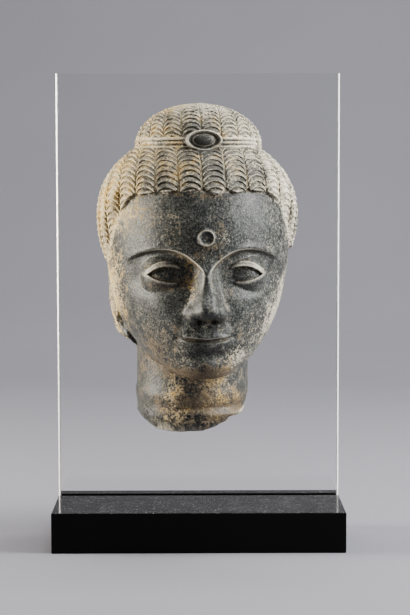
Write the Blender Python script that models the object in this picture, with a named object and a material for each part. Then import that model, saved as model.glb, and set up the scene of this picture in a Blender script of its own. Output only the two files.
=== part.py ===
# Carved stone head in front of a clear acrylic panel, on a black acrylic block.
# Metres, +Z up. Origin: middle of the block's underside. The face looks along -Y.

import math
import bpy
import numpy as np
from mathutils import Vector

# Driving sizes, in metres and degrees
baseWidth = 0.200
baseDepth = 0.0908
baseHeight = 0.0275
baseEdge = 0.0006           # polished edge of the block

panelThickness = 0.010
panelRise = 0.2990          # panel above the block's top
panelFrontSetback = 0.0673  # block's front face to the panel's front face
panelEndInset = 0.00025     # panel end to block end, each side
panelEdge = 0.0004
grooveDepth = 0.015
fitGap = 0.0003             # clearance between parts that touch

headHeight = 0.2266         # top of the topknot to the carving's own zero level
headRaise = 0.0506          # that zero level above the block's top
headShift = -0.0007         # head's middle to the stand's middle, along X
headTurn = 4.5              # degrees, towards +X
headDepth = 0.0266          # flat back behind the head's middle line
headBack = 100.0 * headDepth / headHeight

headCell = 0.0056           # grid cell of the carving, as a share of headHeight
headTriangles = 9300

# Everything below that shapes the head is in hundredths of headHeight, from its own
# origin on the middle line. The broken neck ends about 2 of these above the origin.

skull = dict(level=58.0, widest=68.0, halfWidth=27.9, depth=34.0, rise=36.0, fullness=2.6,
             underHair=4.0, hairEase=5.0)
jaw = dict(bottom=19.0, depth=27.6, narrowing=2.9, tuck=6.0, rounding=4.0)

hair = dict(level=66.0, halfWidth=30.3, depth=35.6, rise=25.5, drop=30.0,
            widthFullness=2.2, depthFullness=1.48)
hairline = dict(front=73.5, side=52.0, rightRise=3.5, turn=61.0, ease=14.0, rim=0.8, slope=0.85,
                rightSlope=0.45, scallop=0.8, rough=0.5, roughWave=3.0)
hairLocks = dict(columns=30, rowAngle=4.2, arch=2.3, height=0.66, crown=0.45, seam=0.3)

topknot = dict(level=87.0, radius=19.1, rise=13.05, shift=0.5, back=0.6, foot=3.0,
               calmAngle=82.0, calmEase=25.0, flatness=0.75)
topknotLocks = dict(columns=20, rowAngle=6.6, arch=2.2, height=0.52, crown=0.3, seam=0.25)
lockShape = dict(roundness=0.95, rim=0.2, recess=0.22, climb=0.62, lip=0.8, lipShare=0.35,
                 sideEase=0.12, seamWidth=0.08)

fillet = dict(level=87.9, halfHeight=1.7, proud=0.35, bead=0.6, spacing=1.8, beadWidth=0.45,
              rounding=0.5)
jewel = dict(level=88.6, halfWidth=5.5, halfHeight=3.0, stone=0.52, proud=1.2, rim=0.75,
             rimPlace=0.88, rimWidth=0.13, dome=1.0, rounding=0.4)
browMark = dict(level=60.4, radius=2.15, width=0.42, height=0.55)

brow = dict(top=57.4, peak=12.5, root=52.4, rootAt=2.0, end=54.0, endAt=22.5, curve=2.2,
            ridge=0.35, ridgeWidth=0.9, ridgeDrop=0.2, fadeFrom=23.0, fade=4.0)
socket = dict(depth=2.7, edge=1.4, floor=45.4, ease=3.2, end=24.0, endEase=6.0,
              inner=4.0, innerWidth=5.0, innerShare=0.25)
eye = dict(across=10.6, level=49.4, sunk=10.9, ball=7.4, halfLength=6.1, above=2.7, below=1.75,
           upperCurve=2.2, lowerCurve=2.0, lean=0.06, upperLid=1.05, lowerLid=0.65, lidBand=1.4,
           lidStep=0.5, bandShare=0.65, thinLid=0.35, fade=2.4, corner=1.2, edge=0.18, join=0.35)

nose = dict(root=55.6, tip=39.8, base=36.4, height=5.7, rise=1.0, rootWidth=2.5, baseWidth=4.8,
            spread=1.5, flat=0.25, side=1.05, foot=3.0, bridgeWidth=2.4, bridgeFrom=43.0,
            bridgeEase=6.0)
noseTip = dict(level=39.9, out=2.6, radii=(2.9, 3.3, 2.6))
noseWing = dict(across=3.9, level=38.7, out=-0.4, radii=(2.1, 3.6, 2.2))
nostril = dict(across=2.2, level=36.4, out=1.4, radii=(1.0, 1.9, 0.8))
noseJoins = dict(wing=2.7, face=1.7, nostril=0.5)
mouth = dict(level=31.0, halfWidth=7.8, upper=2.3, lower=2.8, upperOut=0.75, lowerOut=0.9,
             smile=0.7, dip=0.25, dipWidth=2.4, notch=0.45, notchWidth=1.1, groove=0.55,
             grooveWidth=0.42, grooveEnd=1.6)
crease = dict(start=5.8, slope=0.45, level=38.0, depth=0.35, width=1.2, middle=35.3, length=2.8)

# Soft swells (and hollows, below zero) of the face: how far they stand out, then their
# place and spread across the face, then their height and spread up it
swells = dict(
    cheek=(0.9, 14.5, 6.0, 41.5, 5.5),
    muzzle=(1.3, 0.0, 9.5, 31.5, 5.0),
    mouthCorner=(-0.45, 8.1, 1.1, 31.6, 1.1),
    philtrum=(-0.35, 0.0, 1.0, 34.8, 1.5),
    underLip=(-1.2, 0.0, 5.5, 26.5, 1.8),
    chin=(1.9, 0.0, 5.8, 23.0, 3.2),
)
faceFront = dict(start=6.0, ease=12.0)

neck = dict(shift=-1.3, back=3.0, halfWidth=16.8, depth=19.6, top=34.0, fold=0.5, foldLevel=12.5,
            foldWidth=2.2, crease=0.5, creaseLevel=9.0, creaseWidth=0.9, lip=0.55,
            lipLevel=6.9, lipWidth=0.9, wornFrom=6.2, wear=0.55, wearEase=10.0)
ears = dict(halfWidth=26.4, rightLoss=1.2, level=47.0, drop=36.0, front=2.6, bottom=14.0,
            top=56.0, taperFrom=29.5, taper=0.9, roughWave=4.2, rough=0.9, fineWave=1.9,
            fineShare=0.5, frontRough=2.6, rounding=1.2, endRounding=2.0)

# Broken underside: the stone lies above all of these slopes (height at x = 0, rise along X),
# as far up as the break goes
breakSlopes = ((-17.2, -1.25), (-6.2, -0.62), (1.9, 0.05), (1.8, 0.37), (-34.1, 3.0))
breakFace = dict(top=15.0, stepPlace=7.0, stepWidth=1.4, stepHeight=5.8, lean=0.12, leanFrom=15.0,
                 rough=0.4, roughWave=3.2, steepness=0.8)
backFace = dict(hollow=1.1, hollowWave=6.0, fineWave=2.5, fineShare=0.4)
joins = dict(neck=2.2, ears=0.8, crown=0.5, fillet=0.3)


def ease(value):
    value = np.clip(value, 0.0, 1.0)
    return value * value * (3.0 - 2.0 * value)


def joinSoft(a, b, radius):
    share = np.clip(0.5 + 0.5 * (b - a) / radius, 0.0, 1.0)
    return b * (1.0 - share) + a * share - radius * share * (1.0 - share)


def cutSoft(a, b, radius):
    return -joinSoft(-a, -b, radius)


def bump(value, spread):
    return np.exp(-(value / spread) ** 2)


def ellipsoid(x, y, z, centre, radii):
    px, py, pz = (x - centre[0]) / radii[0], (y - centre[1]) / radii[1], (z - centre[2]) / radii[2]
    reach = np.sqrt(px * px + py * py + pz * pz)
    slope = np.sqrt((px / radii[0]) ** 2 + (py / radii[1]) ** 2 + (pz / radii[2]) ** 2)
    return reach * (reach - 1.0) / np.maximum(slope, 1e-6)


# Even, repeatable roughness: smooth interpolation in a periodic lattice of random values
latticeCount = 32
lattice = np.random.default_rng(41).uniform(-1.0, 1.0, (latticeCount,) * 3)


def roughness(x, y, z, wavelength):
    whole, weight = [], []
    for value in (x, y, z):
        scaled = value / wavelength + 100.0
        cell = np.floor(scaled)
        whole.append(cell.astype(np.int64) % latticeCount)
        part = scaled - cell
        weight.append(part * part * (3.0 - 2.0 * part))
    total = 0.0
    for dx in (0, 1):
        for dy in (0, 1):
            for dz in (0, 1):
                corner = lattice[(whole[0] + dx) % latticeCount, (whole[1] + dy) % latticeCount,
                                 (whole[2] + dz) % latticeCount]
                share = ((weight[0] if dx else 1.0 - weight[0])
                         * (weight[1] if dy else 1.0 - weight[1])
                         * (weight[2] if dz else 1.0 - weight[2]))
                total = total + corner * share
    return total


# From the middle line to the skull's front, at a height on the face. Shares are kept
# just under 1 here and below, where a curve would otherwise end upright.
def skullFront(z):
    below = np.clip((skull["level"] - z) / (skull["level"] - jaw["bottom"]), 0.0, 0.9995)
    return jaw["depth"] + (skull["depth"] - jaw["depth"]) * np.sqrt(1.0 - below ** jaw["rounding"])


# Skull and jaw: level ellipses whose width, depth and middle change with height. The
# front steps back under the hair.
def skullForm(x, y, z):
    below = np.clip((skull["level"] - z) / (skull["level"] - jaw["bottom"]), 0.0, 0.9995)
    taper = np.clip((skull["widest"] - z) / (skull["widest"] - jaw["bottom"]), 0.0, 0.9995)
    above = np.clip((z - skull["level"]) / skull["rise"], 0.0, 0.9995)
    closing = np.sqrt(1.0 - above ** skull["fullness"])
    halfWidth = skull["halfWidth"] * np.sqrt(1.0 - taper ** jaw["narrowing"]) * closing
    front = skullFront(z) * closing
    front = front - skull["underHair"] * ease((z - hairline["front"] + 0.5) / skull["hairEase"])
    middle = -jaw["depth"] * below ** jaw["tuck"]
    halfDepth = np.maximum(front + middle, 0.3)
    reach = np.sqrt((x / halfWidth) ** 2 + ((y - middle) / halfDepth) ** 2)
    side = (reach - 1.0) * np.minimum(halfWidth, halfDepth)
    lowest = jaw["bottom"] - z
    highest = z - skull["level"] - skull["rise"]
    return np.maximum(side, np.maximum(lowest, highest))


def browLine(across):
    inner = (brow["peak"] - across) / (brow["peak"] - brow["rootAt"])
    outer = (across - brow["peak"]) / (brow["endAt"] - brow["peak"])
    rising = brow["top"] - (brow["top"] - brow["root"]) * np.clip(inner, 0.0, 1.4) ** brow["curve"]
    falling = brow["top"] - (brow["top"] - brow["end"]) * np.clip(outer, 0.0, 1.6) ** 2
    return np.where(across < brow["peak"], rising, falling)


# Nose: a straight bridge that widens downward, flat along its top
def noseRelief(across, z, hollow):
    down = np.clip((nose["root"] - z) / (nose["root"] - nose["tip"]), 0.0, 1.0)
    width = nose["rootWidth"] + (nose["baseWidth"] - nose["rootWidth"]) * down ** nose["spread"]
    ridge = 1.0 - ease((across / width - nose["flat"]) / nose["side"])
    relief = nose["height"] * down ** nose["rise"] * ridge * ease((z - nose["base"]) / nose["foot"])
    bridge = bump(across, nose["bridgeWidth"]) * ease((z - nose["bridgeFrom"]) / nose["bridgeEase"])
    return relief + socket["depth"] * bridge * hollow


# Two lips and the line between them. The powers set how late each one thins towards the
# corner of the mouth, and the shares of its height where a lip starts and ends.
def mouthRelief(across, z):
    share = np.clip(across / mouth["halfWidth"], 0.0, 1.0)
    line = mouth["level"] + mouth["smile"] * share ** 2.4 - mouth["dip"] * bump(across, mouth["dipWidth"])
    upper = mouth["upper"] * (1.0 - share ** 1.8) ** 0.8
    upper = upper - mouth["notch"] * bump(across, mouth["notchWidth"])
    lower = mouth["lower"] * (1.0 - share ** 2.2) ** 0.8
    up = (z - line) / np.maximum(upper, 0.25)
    low = (line - z) / np.maximum(lower, 0.25)
    fullness = 1.0 - share ** 4
    relief = mouth["upperOut"] * fullness * ease(up / 0.55) * ease((1.3 - up) / 0.85)
    relief += mouth["lowerOut"] * fullness * ease(low / 0.6) * ease((1.35 - low) / 1.0)
    ends = ease((mouth["halfWidth"] + 1.0 - across) / mouth["grooveEnd"])
    return relief - mouth["groove"] * bump(z - line, mouth["grooveWidth"]) * ends


# How far the carved front stands out from the plain skull, over the front view
def faceRelief(x, z):
    across = np.abs(x)
    under = browLine(across) - z
    hollow = (ease(under / socket["edge"])
              * ease((z - socket["floor"] + socket["ease"]) / (2.0 * socket["ease"]))
              * ease((socket["end"] - across) / socket["endEase"]))
    inner = socket["innerShare"] * bump(across - socket["inner"], socket["innerWidth"])
    relief = -socket["depth"] * hollow * (1.0 - socket["innerShare"] + inner)
    relief += (brow["ridge"] * bump(under + brow["ridgeDrop"], brow["ridgeWidth"])
               * ease((brow["fadeFrom"] - across) / brow["fade"]))
    relief += noseRelief(across, z, hollow) + mouthRelief(across, z)
    for height, place, spread, level, rise in swells.values():
        relief += height * bump(across - place, spread) * bump(z - level, rise)
    line = across - crease["start"] - crease["slope"] * (crease["level"] - z)
    relief -= crease["depth"] * bump(line, crease["width"]) * bump(z - crease["middle"], crease["length"])

    # Raised ring on the forehead
    ring = np.sqrt(x ** 2 + (z - browMark["level"]) ** 2)
    return relief + browMark["height"] * bump(ring - browMark["radius"], browMark["width"])


# Half-closed eyes: a ball under two lids, parted by a narrow almond
def eyeForm(x, y, z):
    across = np.abs(x) - eye["across"]
    back = skull["depth"] - eye["sunk"]
    ball = np.sqrt(across ** 2 + (y + back) ** 2 + (z - eye["level"]) ** 2) - eye["ball"]
    share = np.clip(np.abs(across) / eye["halfLength"], 0.0, 1.0)
    middle = eye["level"] + eye["lean"] * across
    upperLine = middle + eye["above"] * (1.0 - share ** eye["upperCurve"])
    lowerLine = middle - eye["below"] * (1.0 - share ** eye["lowerCurve"])
    opening = np.maximum(lowerLine - z, z - upperLine)
    opening = np.maximum(opening, np.abs(across) - eye["halfLength"])
    band = 1.0 - eye["bandShare"] * ease((z - upperLine - eye["lidBand"]) / eye["lidStep"])
    side = ease((z - middle) / eye["corner"] + 0.5)
    lid = eye["upperLid"] * band * side + eye["lowerLid"] * (1.0 - side)
    near = ease((eye["halfLength"] + eye["fade"] - np.abs(across)) / eye["fade"])
    lids = ball - eye["thinLid"] - (lid - eye["thinLid"]) * near
    return np.minimum(ball, cutSoft(lids, -opening, eye["edge"]))


def noseForm(x, y, z):
    across = np.abs(x)
    tipPlace = (0.0, -skullFront(noseTip["level"]) - noseTip["out"], noseTip["level"])
    wingPlace = (noseWing["across"], -skullFront(noseWing["level"]) - noseWing["out"], noseWing["level"])
    tip = ellipsoid(x, y, z, tipPlace, noseTip["radii"])
    return joinSoft(tip, ellipsoid(across, y, z, wingPlace, noseWing["radii"]), noseJoins["wing"])


def nostrilForm(x, y, z):
    place = (nostril["across"], -skullFront(nostril["level"]) - nostril["out"], nostril["level"])
    return ellipsoid(np.abs(x), y, z, place, nostril["radii"])


def faceForm(x, y, z):
    frontOnly = ease((-y - faceFront["start"]) / faceFront["ease"])
    carved = skullForm(x, y + faceRelief(x, z) * frontOnly, z)
    carved = joinSoft(carved, eyeForm(x, y, z), eye["join"])
    carved = joinSoft(carved, noseForm(x, y, z), noseJoins["face"])
    return cutSoft(carved, -nostrilForm(x, y, z), noseJoins["nostril"])


# Rows of arched locks in columns. Returns how far they stand out.
def lockRelief(turn, rise, locks):
    column = turn * locks["columns"] / 360.0
    side = 2.0 * (column - np.floor(column)) - 1.0
    bend = 1.0 - np.sqrt(1.0 - (lockShape["roundness"] * side) ** 2)
    row = rise / locks["rowAngle"] + locks["arch"] * bend
    below = 1.0 - (row - np.floor(row))
    rim = 1.0 - ease(below / lockShape["rim"])
    slope = (1.0 - lockShape["lipShare"]) * ease((below - lockShape["recess"]) / lockShape["climb"])
    slope = slope + lockShape["lipShare"] * ease((below - lockShape["lip"]) / (1.0 - lockShape["lip"]))
    arches = np.maximum(rim, slope) * ease((1.0 - np.abs(side)) / lockShape["sideEase"])
    seam = bump(1.0 - np.abs(side), lockShape["seamWidth"])
    return (locks["height"] * (arches - 0.5) + locks["crown"] * (0.6 - side ** 2)
            - locks["seam"] * seam)


def hairForm(x, y, z):
    offset = z - hair["level"]
    share = np.where(offset > 0.0, offset / hair["rise"], -offset / hair["drop"])
    share = np.clip(share, 0.0, 0.995)
    halfWidth = hair["halfWidth"] * np.sqrt(1.0 - share ** hair["widthFullness"])
    halfDepth = hair["depth"] * np.sqrt(1.0 - share ** hair["depthFullness"])
    reach = np.sqrt((x / halfWidth) ** 2 + (y / halfDepth) ** 2)
    cap = (reach - 1.0) * np.minimum(halfWidth, halfDepth)
    cap = np.maximum(cap, offset - hair["rise"])

    turn = np.degrees(np.arctan2(x, -y))
    rise = np.degrees(np.arcsin(np.clip(offset / hair["rise"], -0.99, 0.99)))
    cap = cap - lockRelief(turn, rise, hairLocks)
    drop = 0.5 + 0.5 * np.tanh((np.abs(turn) - hairline["turn"]) / hairline["ease"])
    side = hairline["side"] + hairline["rightRise"] * (x > 0.0)
    edge = hairline["front"] - (hairline["front"] - side) * drop
    column = turn * hairLocks["columns"] / 360.0
    edge = edge + hairline["scallop"] * (2.0 * (column - np.floor(column)) - 1.0) ** 2
    edge = edge + hairline["rough"] * roughness(x, y, z, hairline["roughWave"])
    slope = hairline["slope"] - (hairline["slope"] - hairline["rightSlope"]) * drop * (x > 0.0)
    return cutSoft(cap, slope * (edge - z), hairline["rim"])


def topknotForm(x, y, z):
    offset = z - topknot["level"]
    across, behind = x - topknot["shift"], y - topknot["back"]
    share = np.clip(offset / topknot["rise"], -0.995, 0.995)
    radius = topknot["radius"] * np.sqrt(1.0 - share ** 2)
    dome = np.sqrt(across ** 2 + behind ** 2) - radius
    dome = dome * np.sqrt(1.0 - topknot["flatness"] * np.clip(share, 0.0, 1.0) ** 2)
    turn = np.degrees(np.arctan2(across, -behind))
    rise = np.degrees(np.arcsin(share))
    calm = ease((topknot["calmAngle"] - rise) / topknot["calmEase"])
    dome = dome - lockRelief(turn, rise, topknotLocks) * calm
    dome = np.maximum(dome, np.abs(offset) - topknot["rise"])
    return np.maximum(dome, -offset - topknot["foot"])


def filletForm(x, y, z):
    offset = z - fillet["level"]
    beads = bump(np.abs(offset) - 0.5 * fillet["spacing"], fillet["beadWidth"])
    radius = topknot["radius"] + fillet["proud"] + fillet["bead"] * beads
    band = np.sqrt((x - topknot["shift"]) ** 2 + (y - topknot["back"]) ** 2) - radius
    return cutSoft(band, np.abs(offset) - fillet["halfHeight"], fillet["rounding"])


def jewelForm(x, y, z):
    across, up = (x - topknot["shift"]) / jewel["halfWidth"], (z - jewel["level"]) / jewel["halfHeight"]
    reach = np.sqrt(across ** 2 + up ** 2)
    rim = jewel["rim"] * bump(reach - jewel["rimPlace"], jewel["rimWidth"])
    stone = jewel["dome"] * np.sqrt(np.clip(1.0 - (reach / jewel["stone"]) ** 2, 0.0, 1.0))
    front = -(topknot["radius"] - topknot["back"] + jewel["proud"] + rim + stone)
    return cutSoft(front - y, (reach - 1.0) * jewel["halfHeight"], jewel["rounding"])


def neckForm(x, y, z):
    fold = neck["fold"] * bump(z - neck["foldLevel"], neck["foldWidth"])
    fold = fold - neck["crease"] * bump(z - neck["creaseLevel"], neck["creaseWidth"])
    lip = neck["lip"] * bump(z - neck["lipLevel"], neck["lipWidth"])
    worn = neck["wear"] * np.clip(neck["wornFrom"] - z, 0.0, 8.0) * ease(-y / neck["wearEase"])
    across, behind = (x - neck["shift"]) / neck["halfWidth"], (y - neck["back"]) / neck["depth"]
    reach = np.sqrt(across ** 2 + behind ** 2)
    column = (reach - 1.0) * neck["depth"] - fold - lip + worn
    return np.maximum(column, z - neck["top"])


# Stumps of the lost ears: a rough band down each side, behind the cheek
def earForm(x, y, z):
    share = np.clip(np.abs(z - ears["level"]) / ears["drop"], 0.0, 0.99)
    halfWidth = (ears["halfWidth"] - ears["rightLoss"] * (x > 0.0)) * np.sqrt(1.0 - share ** 2)
    halfWidth = halfWidth - ears["taper"] * np.clip(ears["taperFrom"] - z, 0.0, 20.0)
    wave = roughness(x, y, z, ears["roughWave"])
    rough = ears["rough"] * (wave + ears["fineShare"] * roughness(z, x, y, ears["fineWave"]))
    front = ears["front"] - y + ears["frontRough"] * wave
    band = cutSoft(np.abs(x) - halfWidth - rough, front, ears["rounding"])
    return cutSoft(band, np.maximum(ears["bottom"] - z, z - ears["top"]), ears["endRounding"])


def breakForm(x, y, z):
    level = -100.0
    for height, slope in breakSlopes:
        level = np.maximum(level, np.minimum(height + slope * x, breakFace["top"]))
    step = ease((x - breakFace["stepPlace"]) / breakFace["stepWidth"])
    level = np.maximum(level, breakFace["stepHeight"] * step)
    level = level + breakFace["lean"] * (y + breakFace["leanFrom"])
    level = level + breakFace["rough"] * roughness(x, y, z, breakFace["roughWave"])
    return (level - z) * breakFace["steepness"]


# How far back a point lies, square to the panel whatever the head's turn
def straightBack(x, y):
    angle = math.radians(headTurn)
    return y * math.cos(angle) + x * math.sin(angle)


def headForm(x, y, z):
    stone = faceForm(x, y, z)
    stone = joinSoft(stone, neckForm(x, y, z), joins["neck"])
    stone = joinSoft(stone, earForm(x, y, z), joins["ears"])
    crown = np.minimum(hairForm(x, y, z), topknotForm(x, y, z))
    stone = joinSoft(stone, crown, joins["crown"])
    stone = joinSoft(stone, filletForm(x, y, z), joins["fillet"])
    stone = np.minimum(stone, jewelForm(x, y, z))
    stone = np.maximum(stone, breakForm(x, y, z))
    hollows = roughness(x, y, z, backFace["hollowWave"])
    hollows = hollows + backFace["fineShare"] * roughness(z, x, y, backFace["fineWave"])
    back = straightBack(x, y) - headBack + backFace["hollow"] * np.clip(hollows, 0.0, 1.0)
    return np.maximum(stone, back)


# The twelve edges of a grid cell, each as its axis and its place on the other two axes
cellEdges = [(axis, first, second) for axis in range(3) for first in (0, 1) for second in (0, 1)]


def edgeEnds(axis, first, second):
    start = [0, 0, 0]
    others = [other for other in range(3) if other != axis]
    start[others[0]], start[others[1]] = first, second
    end = list(start)
    end[axis] = 1
    return tuple(start), tuple(end)


# The four sides of each cell face, walked around it, as numbers of cell edges
def faceLoops():
    ends = [edgeEnds(*edge) for edge in cellEdges]
    loops = []
    for axis in range(3):
        for side in (0, 1):
            u, v = (axis + 1) % 3, (axis + 2) % 3
            ring = []
            for du, dv in ((0, 0), (1, 0), (1, 1), (0, 1)):
                corner = [0, 0, 0]
                corner[axis], corner[u], corner[v] = side, du, dv
                ring.append(tuple(corner))
            sides = []
            for i in range(4):
                pair = {ring[i], ring[(i + 1) % 4]}
                sides.append([number for number, both in enumerate(ends) if set(both) == pair][0])
            loops.append((ring, sides))
    return loops


# Sorts a cell's crossed edges into the sheets of surface that pass through it
def sortSheets(cells, inside, crossed):
    sheet = np.tile(np.arange(12), (len(cells), 1))
    for ring, sides in faceLoops():
        cut = crossed[:, sides]
        many = cut.sum(1)
        for i in range(4):
            for j in range(i + 1, 4):
                joined = (many == 2) & cut[:, i] & cut[:, j]
                if (j - i) % 2 == 1:
                    shared = ring[j] if j - i == 1 else ring[0]
                    joined |= (many == 4) & inside[tuple((cells + shared).T)]
                a, b = sheet[:, sides[i]], sheet[:, sides[j]]
                low, high = np.minimum(a, b), np.maximum(a, b)
                rows = np.nonzero(joined & (low != high))[0]
                block = sheet[rows]
                sheet[rows] = np.where(block == high[rows, None], low[rows, None], block)
    return sheet


# Turns a form into a closed mesh: a point for each sheet of surface in each grid cell,
# moved onto the surface, and a quad for each grid edge that goes in or out.
def meshFromForm(form, low, high, cell):
    low, high = np.array(low), np.array(high)
    step = 4
    counts = (np.ceil((high - low) / (cell * step)).astype(int)) * step + 1
    axes = [low[i] + cell * np.arange(counts[i]) for i in range(3)]

    coarse = np.meshgrid(*[axis[::step] for axis in axes], indexing="ij")
    distance = form(*coarse)
    near = np.abs(distance) < 1.7 * cell * step
    active = np.zeros([count - 1 for count in distance.shape], bool)
    corners = [(i, j, k) for i in (0, 1) for j in (0, 1) for k in (0, 1)]
    for i, j, k in corners:
        active |= near[i:near.shape[0] - 1 + i, j:near.shape[1] - 1 + j, k:near.shape[2] - 1 + k]
    fine = active.repeat(step, 0).repeat(step, 1).repeat(step, 2)
    wanted = np.zeros(counts, bool)
    for i, j, k in corners:
        wanted[i:counts[0] - 1 + i, j:counts[1] - 1 + j, k:counts[2] - 1 + k] |= fine
    values = np.full(counts, 1.0)
    filled = distance[:-1, :-1, :-1].repeat(step, 0).repeat(step, 1).repeat(step, 2)
    values[:-1, :-1, :-1] = filled
    index = np.nonzero(wanted)
    values[index] = form(*[axes[i][index[i]] for i in range(3)])

    inside = values < 0.0
    within = np.zeros([count - 1 for count in counts], np.int8)
    for i, j, k in corners:
        within += inside[i:counts[0] - 1 + i, j:counts[1] - 1 + j, k:counts[2] - 1 + k]
    mixed = (within > 0) & (within < 8)
    cells = np.array(np.nonzero(mixed)).T
    number = np.full(mixed.shape, -1, np.int64)
    number[mixed] = np.arange(len(cells))

    crossed = np.zeros((len(cells), 12), bool)
    place = np.zeros((len(cells), 12, 3))
    for edge, (axis, first, second) in enumerate(cellEdges):
        start, end = edgeEnds(axis, first, second)
        a, b = values[tuple((cells + start).T)], values[tuple((cells + end).T)]
        crossed[:, edge] = (a < 0.0) != (b < 0.0)
        share = np.where(crossed[:, edge], a / np.where(crossed[:, edge], a - b, 1.0), 0.0)
        place[:, edge] = cells + start
        place[:, edge, axis] += share

    sheet = sortSheets(cells, inside, crossed)
    vertex = np.full((len(cells), 12), -1, np.int64)
    points = []
    total = 0
    for first in range(12):
        member = crossed & (sheet == first)
        rows = np.nonzero(member.any(1))[0]
        if len(rows) == 0:
            continue
        numbers = np.full(len(cells), -1, np.int64)
        numbers[rows] = total + np.arange(len(rows))
        vertex = np.where(member, numbers[:, None], vertex)
        weight = member[rows][:, :, None]
        points.append((place[rows] * weight).sum(1) / weight.sum(1))
        total += len(rows)
    points = low + cell * np.concatenate(points)

    quads = []
    for axis in range(3):
        u, v = (axis + 1) % 3, (axis + 2) % 3
        below = np.take(inside, range(counts[axis] - 1), axis)
        above = np.take(inside, range(1, counts[axis]), axis)
        edges = np.array(np.nonzero(below != above)).T
        unit = np.eye(3, dtype=int)
        ring = []
        for du, dv in ((1, 1), (0, 1), (0, 0), (1, 0)):
            owner = number[tuple((edges - du * unit[u] - dv * unit[v]).T)]
            first, second = (du, dv) if u < v else (dv, du)
            ring.append(vertex[owner, axis * 4 + first * 2 + second])
        quad = np.stack(ring, 1)
        outward = inside[tuple(edges.T)]
        quads.append(np.where(outward[:, None], quad, quad[:, ::-1]))
    quads = np.concatenate(quads)

    for _ in range(2):
        height = form(*points.T)
        nudge = 0.2 * cell
        slope = np.stack([(form(*(points + nudge * axis).T) - height) / nudge for axis in np.eye(3)], 1)
        move = -height / np.maximum((slope ** 2).sum(1), 0.05)
        move = move[:, None] * slope
        length = np.maximum(np.linalg.norm(move, axis=1), 1e-9)
        points += move * np.minimum(1.0, 0.5 * cell / length)[:, None]
    return largestPiece(points, quads)


# Drops crumbs of stone that roughness leaves loose of the rest
def largestPiece(points, quads):
    label = np.arange(len(points))
    while True:
        lowest = label[quads].min(1)
        lower = label.copy()
        for corner in range(4):
            np.minimum.at(lower, quads[:, corner], lowest)
        lower = lower[lower]
        if (lower == label).all():
            break
        label = lower
    kept = quads[label[quads[:, 0]] == np.bincount(label).argmax()]
    used, renumbered = np.unique(kept, return_inverse=True)
    return points[used], renumbered.reshape(-1, 4)


def stonePlace():
    panelFront = -baseDepth / 2 + panelFrontSetback
    return Vector((headShift, panelFront - fitGap - headDepth, baseHeight + headRaise))


def makeHead():
    unit = headHeight / 100.0
    margin = 4.0
    front = -skull["depth"] - nose["height"] - margin
    side = hair["halfWidth"] + margin
    top = topknot["level"] + topknot["rise"] + margin
    points, quads = meshFromForm(headForm, (-side, front, -margin), (side, headBack + margin, top),
                                 100.0 * headCell)
    points = points * unit
    angle = math.radians(headTurn)
    turned = points.copy()
    turned[:, 0] = points[:, 0] * math.cos(angle) - points[:, 1] * math.sin(angle)
    turned[:, 1] = points[:, 0] * math.sin(angle) + points[:, 1] * math.cos(angle)
    mesh = bpy.data.meshes.new("head")
    mesh.from_pydata(turned.tolist(), [], quads.tolist())
    mesh.update()
    head = addObject("head", mesh, stonePlace())
    fewer = head.modifiers.new("Decimate", "DECIMATE")
    fewer.ratio = headTriangles / (2.0 * len(quads))
    fewer.use_collapse_triangulate = True
    return head


def addObject(name, mesh, place):
    thing = bpy.data.objects.new(name, mesh)
    thing.location = place
    bpy.context.scene.collection.objects.link(thing)
    return thing


# A closed block between two corners, its outline in Y and Z carried along X
def makeExtrusion(name, outline, halfWidth, place, edge):
    count = len(outline)
    points = [(side * halfWidth, y, z) for side in (-1, 1) for y, z in outline]
    faces = [tuple(reversed(range(count))), tuple(range(count, 2 * count))]
    for i in range(count):
        j = (i + 1) % count
        faces.append((i, j, j + count, i + count))
    mesh = bpy.data.meshes.new(name)
    mesh.from_pydata(points, [], faces)
    mesh.update()
    block = addObject(name, mesh, place)
    bevel = block.modifiers.new("Bevel", "BEVEL")
    bevel.width = edge
    bevel.segments = 2
    bevel.limit_method = "ANGLE"
    return block


def makeBase():
    front, back, top = -baseDepth / 2, baseDepth / 2, baseHeight
    grooveFront = front + panelFrontSetback - fitGap
    grooveBack = grooveFront + panelThickness + 2.0 * fitGap
    floor = top - grooveDepth
    outline = [(front, 0.0), (back, 0.0), (back, top), (grooveBack, top), (grooveBack, floor),
               (grooveFront, floor), (grooveFront, top), (front, top)]
    return makeExtrusion("base", outline, baseWidth / 2, (0.0, 0.0, 0.0), baseEdge)


def makePanel():
    front = -baseDepth / 2 + panelFrontSetback
    back = front + panelThickness
    foot, top = baseHeight - grooveDepth + fitGap, baseHeight + panelRise
    outline = [(front, foot), (back, foot), (back, top), (front, top)]
    halfWidth = baseWidth / 2 - panelEndInset
    return makeExtrusion("panel", outline, halfWidth, (0.0, 0.0, 0.0), panelEdge)


def makeMaterial(name, colour, rough, clear=0.0):
    material = bpy.data.materials.new(name)
    material.use_nodes = True
    shader = material.node_tree.nodes["Principled BSDF"]
    shader.inputs["Base Color"].default_value = (*colour, 1.0)
    shader.inputs["Roughness"].default_value = rough
    shader.inputs["Metallic"].default_value = 0.0
    shader.inputs["Transmission Weight"].default_value = clear
    shader.inputs["IOR"].default_value = 1.49 if clear else 1.5
    return material


def main():
    for thing in list(bpy.data.objects):
        bpy.data.objects.remove(thing, do_unlink=True)
    makeBase().data.materials.append(makeMaterial("black acrylic", (0.012, 0.012, 0.013), 0.12))
    makePanel().data.materials.append(makeMaterial("clear acrylic", (0.96, 0.98, 0.98), 0.02, 1.0))
    makeHead().data.materials.append(makeMaterial("grey schist", (0.13, 0.14, 0.14), 0.55))
    bpy.context.view_layer.update()


main()
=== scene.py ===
import math
import bpy
import numpy as np
from mathutils import Matrix, Vector


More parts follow.
